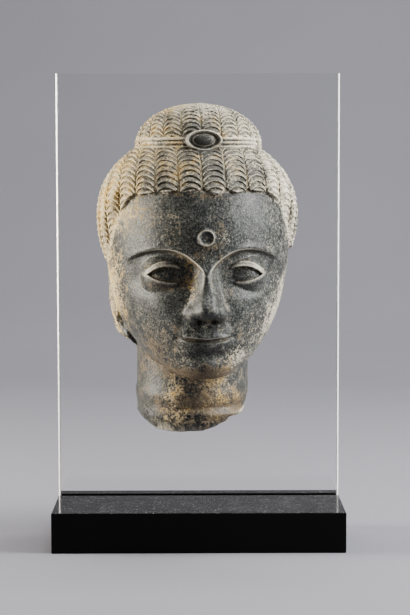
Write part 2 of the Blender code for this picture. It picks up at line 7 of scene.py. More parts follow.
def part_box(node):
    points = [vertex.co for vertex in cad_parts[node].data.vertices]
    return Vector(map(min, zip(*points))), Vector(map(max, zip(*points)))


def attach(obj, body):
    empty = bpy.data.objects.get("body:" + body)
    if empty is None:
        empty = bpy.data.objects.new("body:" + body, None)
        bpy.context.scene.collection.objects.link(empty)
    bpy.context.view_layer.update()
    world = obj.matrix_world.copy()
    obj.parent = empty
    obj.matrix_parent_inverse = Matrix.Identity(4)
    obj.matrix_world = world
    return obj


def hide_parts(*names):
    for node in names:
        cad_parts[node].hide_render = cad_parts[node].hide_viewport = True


# A carved schist head on its display stand: clear acrylic panel in a black acrylic block.
# The head is carved here as one fine mesh, which takes the place of the frame's solid.

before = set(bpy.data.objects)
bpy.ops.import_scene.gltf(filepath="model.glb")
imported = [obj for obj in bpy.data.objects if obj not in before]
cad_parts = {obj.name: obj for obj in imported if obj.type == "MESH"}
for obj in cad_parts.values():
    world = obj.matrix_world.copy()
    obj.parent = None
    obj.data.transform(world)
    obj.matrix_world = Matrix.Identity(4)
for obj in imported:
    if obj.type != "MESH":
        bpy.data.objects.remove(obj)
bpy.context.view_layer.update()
print("frame loaded:", ", ".join(sorted(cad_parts)))

panelLow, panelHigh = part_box("panel")
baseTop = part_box("base")[1].z


def addObject(name, data):
    item = bpy.data.objects.new(name, data)
    bpy.context.scene.collection.objects.link(item)
    return item


# Camera

cameraSet = {
    "place": (-0.0022, -1.2429, 0.2609),
    "turn": -0.318,          # degrees to the left of straight on
    "tilt": -4.477,          # looks down a little
    "roll": -0.109,
    "lens": 104.89,          # on a 36 mm frame
}


def makeCamera(settings):
    data = bpy.data.cameras.new("studio_camera")
    data.lens = settings["lens"]
    data.sensor_width = 36.0
    data.clip_start, data.clip_end = 0.05, 20.0
    camera = addObject("studio_camera", data)
    upright = Matrix.Rotation(math.radians(settings["turn"]), 3, "Z")
    upright = upright @ Matrix.Rotation(math.radians(90.0 + settings["tilt"]), 3, "X")
    upright = upright @ Matrix.Rotation(math.radians(settings["roll"]), 3, "Z")
    camera.rotation_euler = upright.to_euler()
    camera.location = settings["place"]
    bpy.context.scene.camera = camera


makeCamera(cameraSet)


# Floor that sweeps up into a wall, and soft lights

studio = {
    "halfWidth": 3.0,
    "front": -2.5,
    "bend": 0.9,             # where the floor starts to rise
    "radius": 1.3,
    "steps": 24,             # facets in the bend
    "top": 3.2,
    "paper": (0.210, 0.208, 0.230),
    "world": (0.45, 0.46, 0.48),
    "worldStrength": 0.13,
    "contrast": "AgX - Medium High Contrast",
}

lights = {
    "right": {"place": (1.05, -0.22, 0.66), "size": (0.4, 0.8), "power": 31.0, "tint": (0.99, 0.995, 1.0)},
    "left": {"place": (-1.10, 0.02, 0.34), "size": (0.3, 0.6), "power": 28.0, "tint": (1.0, 0.95, 0.86)},
    "above": {"place": (0.25, -0.30, 1.35), "size": (0.6, 0.4), "power": 8.0, "tint": (1.0, 0.99, 0.97)},
    "front": {"place": (0.5, -1.6, 0.9), "size": (0.8, 0.8), "power": 1.5, "tint": (1.0, 1.0, 1.0)},
    "wall": {"place": (0.4, 0.55, 2.1), "size": (2.0, 0.6), "aim": (0.4, 1.7, 0.45), "power": 45.0,
             "tint": (1.0, 1.0, 1.0)},
}


def makeSweep(settings):
    profile = [(settings["front"], 0.0)]
    bend, radius, steps = settings["bend"], settings["radius"], settings["steps"]
    for i in range(steps + 1):
        angle = math.radians(90.0) * i / steps
        profile.append((bend + radius * math.sin(angle), radius * (1.0 - math.cos(angle))))
    profile.append((bend + radius, settings["top"]))
    points, faces = [], []
    for side in (-1.0, 1.0):
        points += [(side * settings["halfWidth"], y, z) for y, z in profile]
    count = len(profile)
    for i in range(count - 1):
        faces.append((i, count + i, count + i + 1, i + 1))
    mesh = bpy.data.meshes.new("sweep")
    mesh.from_pydata(points, [], faces)
    mesh.shade_smooth()
    sweep = addObject("sweep", mesh)
    return sweep


def makeLight(name, settings):
    data = bpy.data.lights.new(name, "AREA")
    data.shape = "RECTANGLE"
    data.size, data.size_y = settings["size"]
    data.energy = settings["power"]
    data.color = settings["tint"]
    light = addObject(name, data)
    light.location = settings["place"]
    aim = Vector(settings.get("aim", (0.0, 0.0, 0.2))) - Vector(settings["place"])
    light.rotation_euler = aim.to_track_quat("-Z", "Y").to_euler()


def makeWorld(settings):
    world = bpy.data.worlds.new("studio")
    world.use_nodes = True
    background = world.node_tree.nodes["Background"]
    background.inputs["Color"].default_value = (*settings["world"], 1.0)
    background.inputs["Strength"].default_value = settings["worldStrength"]
    bpy.context.scene.world = world
    bpy.context.scene.view_settings.look = settings["contrast"]


# Arithmetic on node sockets, so that a material reads as sums

class Wire:
    def __init__(self, tree, socket):
        self.tree, self.socket = tree, socket

    def math(self, kind, other=0.0, third=0.0, clamp=False):
        node = self.tree.nodes.new("ShaderNodeMath")
        node.operation, node.use_clamp = kind, clamp
        for i, value in enumerate((self, other, third)):
            plug(self.tree, node.inputs[i], value)
        return Wire(self.tree, node.outputs[0])

    def __add__(self, other):
        return self.math("ADD", other)

    def __sub__(self, other):
        return self.math("SUBTRACT", other)

    def __rsub__(self, other):
        return (self * -1.0) + other

    def __mul__(self, other):
        return self.math("MULTIPLY", other)

    __radd__, __rmul__ = __add__, __mul__

    # Climbs smoothly from toLow to toHigh between low and high, and falls where toHigh is less
    def between(self, low, high, toLow=0.0, toHigh=1.0):
        node = addNode(self.tree, "ShaderNodeMapRange", {
            "Value": self, "From Min": low, "From Max": high, "To Min": toLow, "To Max": toHigh},
            interpolation_type="SMOOTHSTEP")
        return Wire(self.tree, node.outputs["Result"])

    def falls(self, low, high):
        return self.between(low, high, 1.0, 0.0)


def plug(tree, socket, value):
    if isinstance(value, Wire):
        tree.links.new(value.socket, socket)
    elif isinstance(value, tuple) and socket.type == "RGBA":
        socket.default_value = (*value, 1.0)
    else:
        socket.default_value = value


def plugAll(tree, node, inputs):
    for name, value in inputs.items():
        plug(tree, node.inputs[name], value)


def addNode(tree, kind, inputs, **settings):
    node = tree.nodes.new(kind)
    for name, value in settings.items():
        setattr(node, name, value)
    plugAll(tree, node, inputs)
    return node


def newMaterial(name):
    material = bpy.data.materials.new(name)
    material.use_nodes = True
    tree = material.node_tree
    tree.nodes.clear()
    output = tree.nodes.new("ShaderNodeOutputMaterial")
    shader = tree.nodes.new("ShaderNodeBsdfPrincipled")
    tree.links.new(shader.outputs["BSDF"], output.inputs["Surface"])
    place = Wire(tree, tree.nodes.new("ShaderNodeTexCoord").outputs["Object"])
    return material, tree, shader, place


# Noise about 0, with features of the given size in millimetres
def noise(place, size, detail=2.0, rough=0.5, distort=0.0):
    node = addNode(place.tree, "ShaderNodeTexNoise", {
        "Vector": place, "Scale": 1000.0 / size, "Detail": detail, "Roughness": rough,
        "Distortion": distort})
    return Wire(place.tree, node.outputs["Fac"]) - 0.5


def attribute(tree, name):
    return Wire(tree, addNode(tree, "ShaderNodeAttribute", {}, attribute_name=name).outputs["Fac"])


def mix(share, a, b):
    node = share.tree.nodes.new("ShaderNodeMix")
    node.data_type = "RGBA"
    for number, value in ((0, share), (6, a), (7, b)):
        plug(share.tree, node.inputs[number], value)
    return Wire(share.tree, node.outputs[2])


def ramp(value, stops):
    node = addNode(value.tree, "ShaderNodeValToRGB", {"Fac": value})
    while len(node.color_ramp.elements) < len(stops):
        node.color_ramp.elements.new(0.5)
    for element, (position, colour) in zip(node.color_ramp.elements, stops):
        element.position = position
        element.color = (*colour, 1.0)
    return Wire(value.tree, node.outputs["Color"])


def bumped(height, strength, distance):
    node = addNode(height.tree, "ShaderNodeBump", {
        "Height": height, "Strength": strength, "Distance": distance})
    return Wire(height.tree, node.outputs["Normal"])


def axes(place):
    node = addNode(place.tree, "ShaderNodeSeparateXYZ", {"Vector": place})
    return [Wire(place.tree, socket) for socket in node.outputs]


# The same place, turned about Z by some degrees
def turned(place, degrees):
    mapping = addNode(place.tree, "ShaderNodeMapping",
                      {"Vector": place, "Rotation": (0.0, 0.0, math.radians(degrees))})
    return Wire(place.tree, mapping.outputs["Vector"])


def makePaper(colour):
    material, tree, shader, place = newMaterial("paper")
    lighter = tuple(1.04 * part for part in colour)
    tone = noise(place, 300.0, 3.0) + noise(place, 1.6, 2.0) * 0.8
    plugAll(tree, shader, {"Base Color": mix(tone.between(-0.2, 0.2), colour, lighter),
                           "Roughness": 0.9, "Specular IOR Level": 0.2})
    return material


sweep = makeSweep(studio)
sweep.data.materials.append(makePaper(studio["paper"]))
for name, settings in lights.items():
    makeLight(name, settings)
makeWorld(studio)
print("camera, floor and lights are set")


# The carving. Shapes are in hundredths of headHeight from the head's own origin,
# on its middle line and a little below the broken neck.

headHeight = 0.2266
hundredths = 100.0 / headHeight
headTurn = 4.5              # degrees, towards +X
headDepth = 0.0266          # flat back behind the middle line
headShift = -0.0007
headRaise = 0.0506          # origin above the block
fitGap = 0.0003
headBack = 100.0 * headDepth / headHeight
headPlace = (headShift, panelLow.y - fitGap - headDepth, baseTop + headRaise)

skull = dict(level=58.0, widest=68.0, halfWidth=27.9, depth=34.0, rise=36.0, fullness=2.6,
             underHair=4.0, hairEase=5.0)
jaw = dict(bottom=19.0, depth=27.6, narrowing=2.9, tuck=6.0, rounding=4.0)

hair = dict(level=66.0, halfWidth=30.3, depth=35.6, rise=25.5, drop=30.0,
            widthFullness=2.2, depthFullness=1.48, sideCalm=0.35, calmFrom=18.0, calmEase=8.0)
hairline = dict(front=73.5, side=52.0, rightRise=3.5, turn=61.0, ease=14.0, rim=0.6, slope=1.7,
                rightSlope=0.9, scallop=0.8, rough=0.6, roughWave=3.0, thin=2.6, thinOver=9.0)
hairLocks = dict(width=6.9, start=0.9, rowAngle=4.2, arch=1.95, height=0.66, crown=0.4, seam=0.2)

topknot = dict(level=87.0, radius=19.1, rise=13.05, shift=0.5, back=0.6, foot=3.0,
               calmAngle=82.0, calmEase=25.0, flatness=0.75)
topknotLocks = dict(width=5.87, start=0.55, rowAngle=6.6, arch=1.9, height=0.52, crown=0.3,
                    seam=0.15)
lockShape = dict(roundness=0.96, rim=0.2, recess=0.22, climb=0.62, lip=0.8, lipShare=0.35,
                 sideEase=0.12, seamWidth=0.08)

fillet = dict(level=87.9, halfHeight=1.7, proud=0.25, bead=0.45, spacing=1.2, wear=1.6,
              wornFrom=12.5, wearEase=6.0, rounding=0.5)
jewel = dict(level=88.6, halfWidth=5.5, halfHeight=3.0, stone=0.52, proud=1.2, rim=0.5,
             rimPlace=0.92, rimWidth=0.07, dome=1.0, rounding=0.4)
browMark = dict(level=60.4, radius=2.15, width=0.42, height=0.55)

brow = dict(top=57.4, peak=12.5, root=52.4, rootAt=2.0, end=54.0, endAt=22.5, curve=2.2,
            ridge=0.35, ridgeWidth=0.9, ridgeDrop=0.2, fadeFrom=23.0, fade=4.0)
socket = dict(depth=2.7, edge=1.4, floor=45.4, ease=3.2, end=24.0, endEase=6.0,
              inner=4.0, innerWidth=5.0, innerShare=0.25)
eye = dict(across=10.6, level=49.4, sunk=10.9, ball=7.4, halfLength=6.1, above=2.7, below=1.75,
           upperCurve=2.2, lowerCurve=2.0, lean=0.06, upperLid=1.05, lowerLid=0.65, lidBand=1.4,
           lidStep=0.5, bandShare=0.65, thinLid=0.35, fade=2.4, corner=1.2, edge=0.18, join=0.35)

nose = dict(root=55.6, tip=39.8, base=36.4, height=5.7, rise=1.0, rootWidth=2.5, baseWidth=4.8,
            spread=1.5, flat=0.25, side=1.05, foot=3.0, bridgeWidth=2.4, bridgeFrom=43.0,
            bridgeEase=6.0)
noseTip = dict(level=39.9, out=2.6, radii=(2.9, 3.3, 2.6))
noseWing = dict(across=3.9, level=38.7, out=-0.4, radii=(2.1, 3.6, 2.2))
nostril = dict(across=2.2, level=36.4, out=1.4, radii=(1.0, 1.9, 0.8))
noseJoins = dict(wing=2.7, face=1.7, nostril=0.5)
mouth = dict(level=31.0, halfWidth=7.8, upper=2.3, lower=2.8, upperOut=0.75, lowerOut=0.9,
             smile=0.7, dip=0.25, dipWidth=2.4, notch=0.45, notchWidth=1.1, groove=0.55,
             grooveWidth=0.42, grooveEnd=1.6)
crease = dict(start=5.8, slope=0.45, level=38.0, depth=0.35, width=1.2, middle=35.3, length=2.8)

# Soft swells (and hollows, below zero) of the face: how far they stand out, then their
# place and spread across the face, then their height and spread up it
swells = dict(
    cheek=(0.9, 14.5, 6.0, 41.5, 5.5),
    muzzle=(1.3, 0.0, 9.5, 31.5, 5.0),
    mouthCorner=(-0.45, 8.1, 1.1, 31.6, 1.1),
    philtrum=(-0.35, 0.0, 1.0, 34.8, 1.5),
    underLip=(-1.2, 0.0, 5.5, 26.5, 1.8),
    chin=(1.9, 0.0, 5.8, 23.0, 3.2),
)
faceFront = dict(start=6.0, ease=12.0)

neck = dict(shift=-1.3, back=3.0, halfWidth=17.0, depth=19.6, top=34.0, fold=0.5, foldLevel=12.5,
            foldWidth=2.2, crease=0.5, creaseLevel=9.0, creaseWidth=0.9, lip=0.5,
            lipLevel=6.9, lipWidth=0.8, lipFrom=-8.0, lipEase=4.0, wornFrom=6.0, wear=0.38,
            wearEase=10.0)
ears = dict(halfWidth=26.4, rightLoss=1.2, level=47.0, drop=36.0, front=2.6, bottom=14.0,
            top=56.0, taperFrom=29.5, taper=0.9, roughWave=4.2, rough=0.9, fineWave=1.9,
            fineShare=0.5, frontRough=2.6, rounding=1.2, endRounding=2.0)

# Broken underside: the stone lies above all of these slopes (height at x = 0, rise along X),
# as far up as the break goes
breakSlopes = ((-18.4, -1.25), (-7.0, -0.62), (1.9, 0.05), (1.8, 0.37), (-34.1, 3.0))
breakFace = dict(top=15.0, stepPlace=7.0, stepWidth=1.4, stepHeight=5.8, lean=0.12, leanFrom=15.0,
                 rough=0.6, roughWave=3.2, steepness=0.8)
backFace = dict(hollow=1.1, hollowWave=6.0, fineWave=2.5, fineShare=0.4)
joins = dict(neck=2.2, ears=0.8, crown=0.5, fillet=0.3)


def ease(value):
    value = np.clip(value, 0.0, 1.0)
    return value * value * (3.0 - 2.0 * value)


def joinSoft(a, b, radius):
    share = np.clip(0.5 + 0.5 * (b - a) / radius, 0.0, 1.0)
    return b * (1.0 - share) + a * share - radius * share * (1.0 - share)


def cutSoft(a, b, radius):
    return -joinSoft(-a, -b, radius)


def bump(value, spread):
    return np.exp(-(value / spread) ** 2)


def ellipsoid(x, y, z, centre, radii):
    px, py, pz = (x - centre[0]) / radii[0], (y - centre[1]) / radii[1], (z - centre[2]) / radii[2]
    reach = np.sqrt(px * px + py * py + pz * pz)
    slope = np.sqrt((px / radii[0]) ** 2 + (py / radii[1]) ** 2 + (pz / radii[2]) ** 2)
    return reach * (reach - 1.0) / np.maximum(slope, 1e-6)


# Even, repeatable roughness: smooth interpolation in a periodic lattice of random values
latticeCount = 32
lattice = np.random.default_rng(41).uniform(-1.0, 1.0, (latticeCount,) * 3)


def roughness(x, y, z, wavelength):
    whole, weight = [], []
    for value in (x, y, z):
        scaled = value / wavelength + 100.0
        cell = np.floor(scaled)
        whole.append(cell.astype(np.int64) % latticeCount)
        part = scaled - cell
        weight.append(part * part * (3.0 - 2.0 * part))
    total = 0.0
    for dx in (0, 1):
        for dy in (0, 1):
            for dz in (0, 1):
                corner = lattice[(whole[0] + dx) % latticeCount, (whole[1] + dy) % latticeCount,
                                 (whole[2] + dz) % latticeCount]
                share = ((weight[0] if dx else 1.0 - weight[0])
                         * (weight[1] if dy else 1.0 - weight[1])
                         * (weight[2] if dz else 1.0 - weight[2]))
                total = total + corner * share
    return total


# From the middle line to the skull's front, at a height on the face. Shares are kept
# just under 1 here and below, where a curve would otherwise end upright.
def skullFront(z):
    below = np.clip((skull["level"] - z) / (skull["level"] - jaw["bottom"]), 0.0, 0.9995)
    return jaw["depth"] + (skull["depth"] - jaw["depth"]) * np.sqrt(1.0 - below ** jaw["rounding"])


# Skull and jaw: level ellipses whose width, depth and middle change with height. The
# front steps back under the hair.
def skullForm(x, y, z):
    below = np.clip((skull["level"] - z) / (skull["level"] - jaw["bottom"]), 0.0, 0.9995)
    taper = np.clip((skull["widest"] - z) / (skull["widest"] - jaw["bottom"]), 0.0, 0.9995)
    above = np.clip((z - skull["level"]) / skull["rise"], 0.0, 0.9995)
    closing = np.sqrt(1.0 - above ** skull["fullness"])
    halfWidth = skull["halfWidth"] * np.sqrt(1.0 - taper ** jaw["narrowing"]) * closing
    front = skullFront(z) * closing
    front = front - skull["underHair"] * ease((z - hairline["front"] + 0.5) / skull["hairEase"])
    middle = -jaw["depth"] * below ** jaw["tuck"]
    halfDepth = np.maximum(front + middle, 0.3)
    reach = np.sqrt((x / halfWidth) ** 2 + ((y - middle) / halfDepth) ** 2)
    side = (reach - 1.0) * np.minimum(halfWidth, halfDepth)
    lowest = jaw["bottom"] - z
    highest = z - skull["level"] - skull["rise"]
    return np.maximum(side, np.maximum(lowest, highest))


def browLine(across):
    inner = (brow["peak"] - across) / (brow["peak"] - brow["rootAt"])
    outer = (across - brow["peak"]) / (brow["endAt"] - brow["peak"])
    rising = brow["top"] - (brow["top"] - brow["root"]) * np.clip(inner, 0.0, 1.4) ** brow["curve"]
    falling = brow["top"] - (brow["top"] - brow["end"]) * np.clip(outer, 0.0, 1.6) ** 2
    return np.where(across < brow["peak"], rising, falling)


# Nose: a straight bridge that widens downward, flat along its top
def noseRelief(across, z, hollow):
    down = np.clip((nose["root"] - z) / (nose["root"] - nose["tip"]), 0.0, 1.0)
    width = nose["rootWidth"] + (nose["baseWidth"] - nose["rootWidth"]) * down ** nose["spread"]
    ridge = 1.0 - ease((across / width - nose["flat"]) / nose["side"])
    relief = nose["height"] * down ** nose["rise"] * ridge * ease((z - nose["base"]) / nose["foot"])
    bridge = bump(across, nose["bridgeWidth"]) * ease((z - nose["bridgeFrom"]) / nose["bridgeEase"])
    return relief + socket["depth"] * bridge * hollow


# Two lips and the line between them. The powers set how late each one thins towards the
# corner of the mouth, and the shares of its height where a lip starts and ends.
def mouthRelief(across, z):
    share = np.clip(across / mouth["halfWidth"], 0.0, 1.0)
    line = mouth["level"] + mouth["smile"] * share ** 2.4 - mouth["dip"] * bump(across, mouth["dipWidth"])
    upper = mouth["upper"] * (1.0 - share ** 1.8) ** 0.8
    upper = upper - mouth["notch"] * bump(across, mouth["notchWidth"])
    lower = mouth["lower"] * (1.0 - share ** 2.2) ** 0.8
    up = (z - line) / np.maximum(upper, 0.25)
    low = (line - z) / np.maximum(lower, 0.25)
    fullness = 1.0 - share ** 4
    relief = mouth["upperOut"] * fullness * ease(up / 0.55) * ease((1.3 - up) / 0.85)
    relief += mouth["lowerOut"] * fullness * ease(low / 0.6) * ease((1.35 - low) / 1.0)
    ends = ease((mouth["halfWidth"] + 1.0 - across) / mouth["grooveEnd"])
    return relief - mouth["groove"] * bump(z - line, mouth["grooveWidth"]) * ends


# How far the carved front stands out from the plain skull, over the front view
def faceRelief(x, z):
    across = np.abs(x)
    under = browLine(across) - z
    hollow = (ease(under / socket["edge"])
              * ease((z - socket["floor"] + socket["ease"]) / (2.0 * socket["ease"]))
              * ease((socket["end"] - across) / socket["endEase"]))
    inner = socket["innerShare"] * bump(across - socket["inner"], socket["innerWidth"])
    relief = -socket["depth"] * hollow * (1.0 - socket["innerShare"] + inner)
    relief += (brow["ridge"] * bump(under + brow["ridgeDrop"], brow["ridgeWidth"])
               * ease((brow["fadeFrom"] - across) / brow["fade"]))
    relief += noseRelief(across, z, hollow) + mouthRelief(across, z)
    for height, place, spread, level, rise in swells.values():
        relief += height * bump(across - place, spread) * bump(z - level, rise)
    line = across - crease["start"] - crease["slope"] * (crease["level"] - z)
    relief -= crease["depth"] * bump(line, crease["width"]) * bump(z - crease["middle"], crease["length"])

    # Raised ring on the forehead
    ring = np.sqrt(x ** 2 + (z - browMark["level"]) ** 2)
    return relief + browMark["height"] * bump(ring - browMark["radius"], browMark["width"])


# Half-closed eyes: a ball under two lids, parted by a narrow almond
def eyeForm(x, y, z):
    across = np.abs(x) - eye["across"]
    back = skull["depth"] - eye["sunk"]
    ball = np.sqrt(across ** 2 + (y + back) ** 2 + (z - eye["level"]) ** 2) - eye["ball"]
    share = np.clip(np.abs(across) / eye["halfLength"], 0.0, 1.0)
    middle = eye["level"] + eye["lean"] * across
    upperLine = middle + eye["above"] * (1.0 - share ** eye["upperCurve"])
    lowerLine = middle - eye["below"] * (1.0 - share ** eye["lowerCurve"])
    opening = np.maximum(lowerLine - z, z - upperLine)
    opening = np.maximum(opening, np.abs(across) - eye["halfLength"])
    band = 1.0 - eye["bandShare"] * ease((z - upperLine - eye["lidBand"]) / eye["lidStep"])
    side = ease((z - middle) / eye["corner"] + 0.5)
    lid = eye["upperLid"] * band * side + eye["lowerLid"] * (1.0 - side)
    near = ease((eye["halfLength"] + eye["fade"] - np.abs(across)) / eye["fade"])
    lids = ball - eye["thinLid"] - (lid - eye["thinLid"]) * near
    return np.minimum(ball, cutSoft(lids, -opening, eye["edge"]))


def noseForm(x, y, z):
    across = np.abs(x)
    tipPlace = (0.0, -skullFront(noseTip["level"]) - noseTip["out"], noseTip["level"])
    wingPlace = (noseWing["across"], -skullFront(noseWing["level"]) - noseWing["out"], noseWing["level"])
    tip = ellipsoid(x, y, z, tipPlace, noseTip["radii"])
    return joinSoft(tip, ellipsoid(across, y, z, wingPlace, noseWing["radii"]), noseJoins["wing"])


def nostrilForm(x, y, z):
    place = (nostril["across"], -skullFront(nostril["level"]) - nostril["out"], nostril["level"])
    return ellipsoid(np.abs(x), y, z, place, nostril["radii"])


def faceForm(x, y, z):
    frontOnly = ease((-y - faceFront["start"]) / faceFront["ease"])
    carved = skullForm(x, y + faceRelief(x, z) * frontOnly, z)
    carved = joinSoft(carved, eyeForm(x, y, z), eye["join"])
    carved = joinSoft(carved, noseForm(x, y, z), noseJoins["face"])
    return cutSoft(carved, -nostrilForm(x, y, z), noseJoins["nostril"])


# Counts the columns of locks from the front: strips of equal width along the hair
def lockColumn(across, behind, locks):
    along = np.arctan2(across, -behind) * np.sqrt(across ** 2 + behind ** 2)
    return (along + locks["start"]) / locks["width"]


# How far the rows of arched locks stand out
def lockRelief(column, rise, locks):
    side = 2.0 * (column - np.floor(column)) - 1.0
    bend = 1.0 - np.sqrt(1.0 - (lockShape["roundness"] * side) ** 2)
    row = rise / locks["rowAngle"] + locks["arch"] * bend
    below = 1.0 - (row - np.floor(row))
    rim = 1.0 - ease(below / lockShape["rim"])
    slope = (1.0 - lockShape["lipShare"]) * ease((below - lockShape["recess"]) / lockShape["climb"])
    slope = slope + lockShape["lipShare"] * ease((below - lockShape["lip"]) / (1.0 - lockShape["lip"]))
    arches = np.maximum(rim, slope) * ease((1.0 - np.abs(side)) / lockShape["sideEase"])
    seam = bump(1.0 - np.abs(side), lockShape["seamWidth"])
    return (locks["height"] * (arches - 0.5) + locks["crown"] * (0.6 - side ** 2)
            - locks["seam"] * seam)


def hairForm(x, y, z):
    offset = z - hair["level"]
    share = np.where(offset > 0.0, offset / hair["rise"], -offset / hair["drop"])
    share = np.clip(share, 0.0, 0.995)
    halfWidth = hair["halfWidth"] * np.sqrt(1.0 - share ** hair["widthFullness"])
    halfDepth = hair["depth"] * np.sqrt(1.0 - share ** hair["depthFullness"])
    reach = np.sqrt((x / halfWidth) ** 2 + (y / halfDepth) ** 2)
    cap = (reach - 1.0) * np.minimum(halfWidth, halfDepth)
    cap = np.maximum(cap, offset - hair["rise"])

    turn = np.degrees(np.arctan2(x, -y))
    rise = np.degrees(np.arcsin(np.clip(offset / hair["rise"], -0.99, 0.99)))
    column = lockColumn(x, y, hairLocks)
    calm = 1.0 - hair["sideCalm"] * ease((np.abs(x) - hair["calmFrom"]) / hair["calmEase"])
    cap = cap - lockRelief(column, rise, hairLocks) * calm
    drop = 0.5 + 0.5 * np.tanh((np.abs(turn) - hairline["turn"]) / hairline["ease"])
    side = hairline["side"] + hairline["rightRise"] * (x > 0.0)
    edge = hairline["front"] - (hairline["front"] - side) * drop
    edge = edge + hairline["scallop"] * (2.0 * (column - np.floor(column)) - 1.0) ** 2
    edge = edge + hairline["rough"] * roughness(x, y, z, hairline["roughWave"])
    temple = 4.0 * drop * (1.0 - drop)
    cap = cap + hairline["thin"] * temple * ease((edge + hairline["thinOver"] - z) / hairline["thinOver"])
    slope = hairline["slope"] - (hairline["slope"] - hairline["rightSlope"]) * drop * (x > 0.0)
    return cutSoft(cap, slope * (edge - z), hairline["rim"])


def topknotForm(x, y, z):
    offset = z - topknot["level"]
    across, behind = x - topknot["shift"], y - topknot["back"]
    share = np.clip(offset / topknot["rise"], -0.995, 0.995)
    radius = topknot["radius"] * np.sqrt(1.0 - share ** 2)
    dome = np.sqrt(across ** 2 + behind ** 2) - radius
    dome = dome * np.sqrt(1.0 - topknot["flatness"] * np.clip(share, 0.0, 1.0) ** 2)
    rise = np.degrees(np.arcsin(share))
    calm = ease((topknot["calmAngle"] - rise) / topknot["calmEase"])
    dome = dome - lockRelief(lockColumn(across, behind, topknotLocks), rise, topknotLocks) * calm
    dome = np.maximum(dome, np.abs(offset) - topknot["rise"])
    return np.maximum(dome, -offset - topknot["foot"])


def filletForm(x, y, z):
    offset = z - fillet["level"]
    beads = 0.5 + 0.5 * np.cos(2.0 * math.pi * offset / fillet["spacing"])
    across = x - topknot["shift"]
    worn = 1.0 - fillet["wear"] * ease((np.abs(across) - fillet["wornFrom"]) / fillet["wearEase"])
    radius = topknot["radius"] + (fillet["proud"] + fillet["bead"] * beads) * worn
    band = np.sqrt(across ** 2 + (y - topknot["back"]) ** 2) - radius
    return cutSoft(band, np.abs(offset) - fillet["halfHeight"], fillet["rounding"])


def jewelForm(x, y, z):
    across, up = (x - topknot["shift"]) / jewel["halfWidth"], (z - jewel["level"]) / jewel["halfHeight"]
    reach = np.sqrt(across ** 2 + up ** 2)
    rim = jewel["rim"] * bump(reach - jewel["rimPlace"], jewel["rimWidth"])
    stone = jewel["dome"] * np.sqrt(np.clip(1.0 - (reach / jewel["stone"]) ** 2, 0.0, 1.0))
    front = -(topknot["radius"] - topknot["back"] + jewel["proud"] + rim + stone)
    return cutSoft(front - y, (reach - 1.0) * jewel["halfHeight"], jewel["rounding"])


def neckForm(x, y, z):
    fold = neck["fold"] * bump(z - neck["foldLevel"], neck["foldWidth"])
    inward = ease((x - neck["lipFrom"]) / neck["lipEase"])
    fold = fold - neck["crease"] * inward * bump(z - neck["creaseLevel"], neck["creaseWidth"])
    lip = neck["lip"] * inward * bump(z - neck["lipLevel"], neck["lipWidth"])
    worn = neck["wear"] * np.clip(neck["wornFrom"] - z, 0.0, 8.0) * ease(-y / neck["wearEase"])
    across, behind = (x - neck["shift"]) / neck["halfWidth"], (y - neck["back"]) / neck["depth"]
    reach = np.sqrt(across ** 2 + behind ** 2)
    column = (reach - 1.0) * neck["depth"] - fold - lip + worn
    return np.maximum(column, z - neck["top"])


# Stumps of the lost ears: a rough band down each side, behind the cheek
def earForm(x, y, z):
    share = np.clip(np.abs(z - ears["level"]) / ears["drop"], 0.0, 0.99)
    halfWidth = (ears["halfWidth"] - ears["rightLoss"] * (x > 0.0)) * np.sqrt(1.0 - share ** 2)
    halfWidth = halfWidth - ears["taper"] * np.clip(ears["taperFrom"] - z, 0.0, 20.0)
    wave = roughness(x, y, z, ears["roughWave"])
    rough = ears["rough"] * (wave + ears["fineShare"] * roughness(z, x, y, ears["fineWave"]))
    front = ears["front"] - y + ears["frontRough"] * wave
    band = cutSoft(np.abs(x) - halfWidth - rough, front, ears["rounding"])
    return cutSoft(band, np.maximum(ears["bottom"] - z, z - ears["top"]), ears["endRounding"])


def breakForm(x, y, z):
    level = -100.0
    for height, slope in breakSlopes:
        level = np.maximum(level, np.minimum(height + slope * x, breakFace["top"]))
    step = ease((x - breakFace["stepPlace"]) / breakFace["stepWidth"])
    level = np.maximum(level, breakFace["stepHeight"] * step)
    level = level + breakFace["lean"] * (y + breakFace["leanFrom"])
    level = level + breakFace["rough"] * roughness(x, y, z, breakFace["roughWave"])
    return (level - z) * breakFace["steepness"]


turnCos, turnSin = math.cos(math.radians(headTurn)), math.sin(math.radians(headTurn))


# How far back a point lies, square to the panel whatever the head's turn
def straightBack(x, y):
    return y * turnCos + x * turnSin


def headForm(x, y, z):
    stone = faceForm(x, y, z)
    stone = joinSoft(stone, neckForm(x, y, z), joins["neck"])
    stone = joinSoft(stone, earForm(x, y, z), joins["ears"])
    crown = np.minimum(hairForm(x, y, z), topknotForm(x, y, z))
    stone = joinSoft(stone, crown, joins["crown"])
    stone = joinSoft(stone, filletForm(x, y, z), joins["fillet"])
    stone = np.minimum(stone, jewelForm(x, y, z))
    stone = np.maximum(stone, breakForm(x, y, z))
    hollows = roughness(x, y, z, backFace["hollowWave"])
    hollows = hollows + backFace["fineShare"] * roughness(z, x, y, backFace["fineWave"])
    back = straightBack(x, y) - headBack + backFace["hollow"] * np.clip(hollows, 0.0, 1.0)
    return np.maximum(stone, back)


# The twelve edges of a grid cell, each as its axis and its place on the other two axes
cellEdges = [(axis, first, second) for axis in range(3) for first in (0, 1) for second in (0, 1)]


def edgeEnds(axis, first, second):
    start = [0, 0, 0]
    others = [other for other in range(3) if other != axis]
    start[others[0]], start[others[1]] = first, second
    end = list(start)
    end[axis] = 1
    return tuple(start), tuple(end)


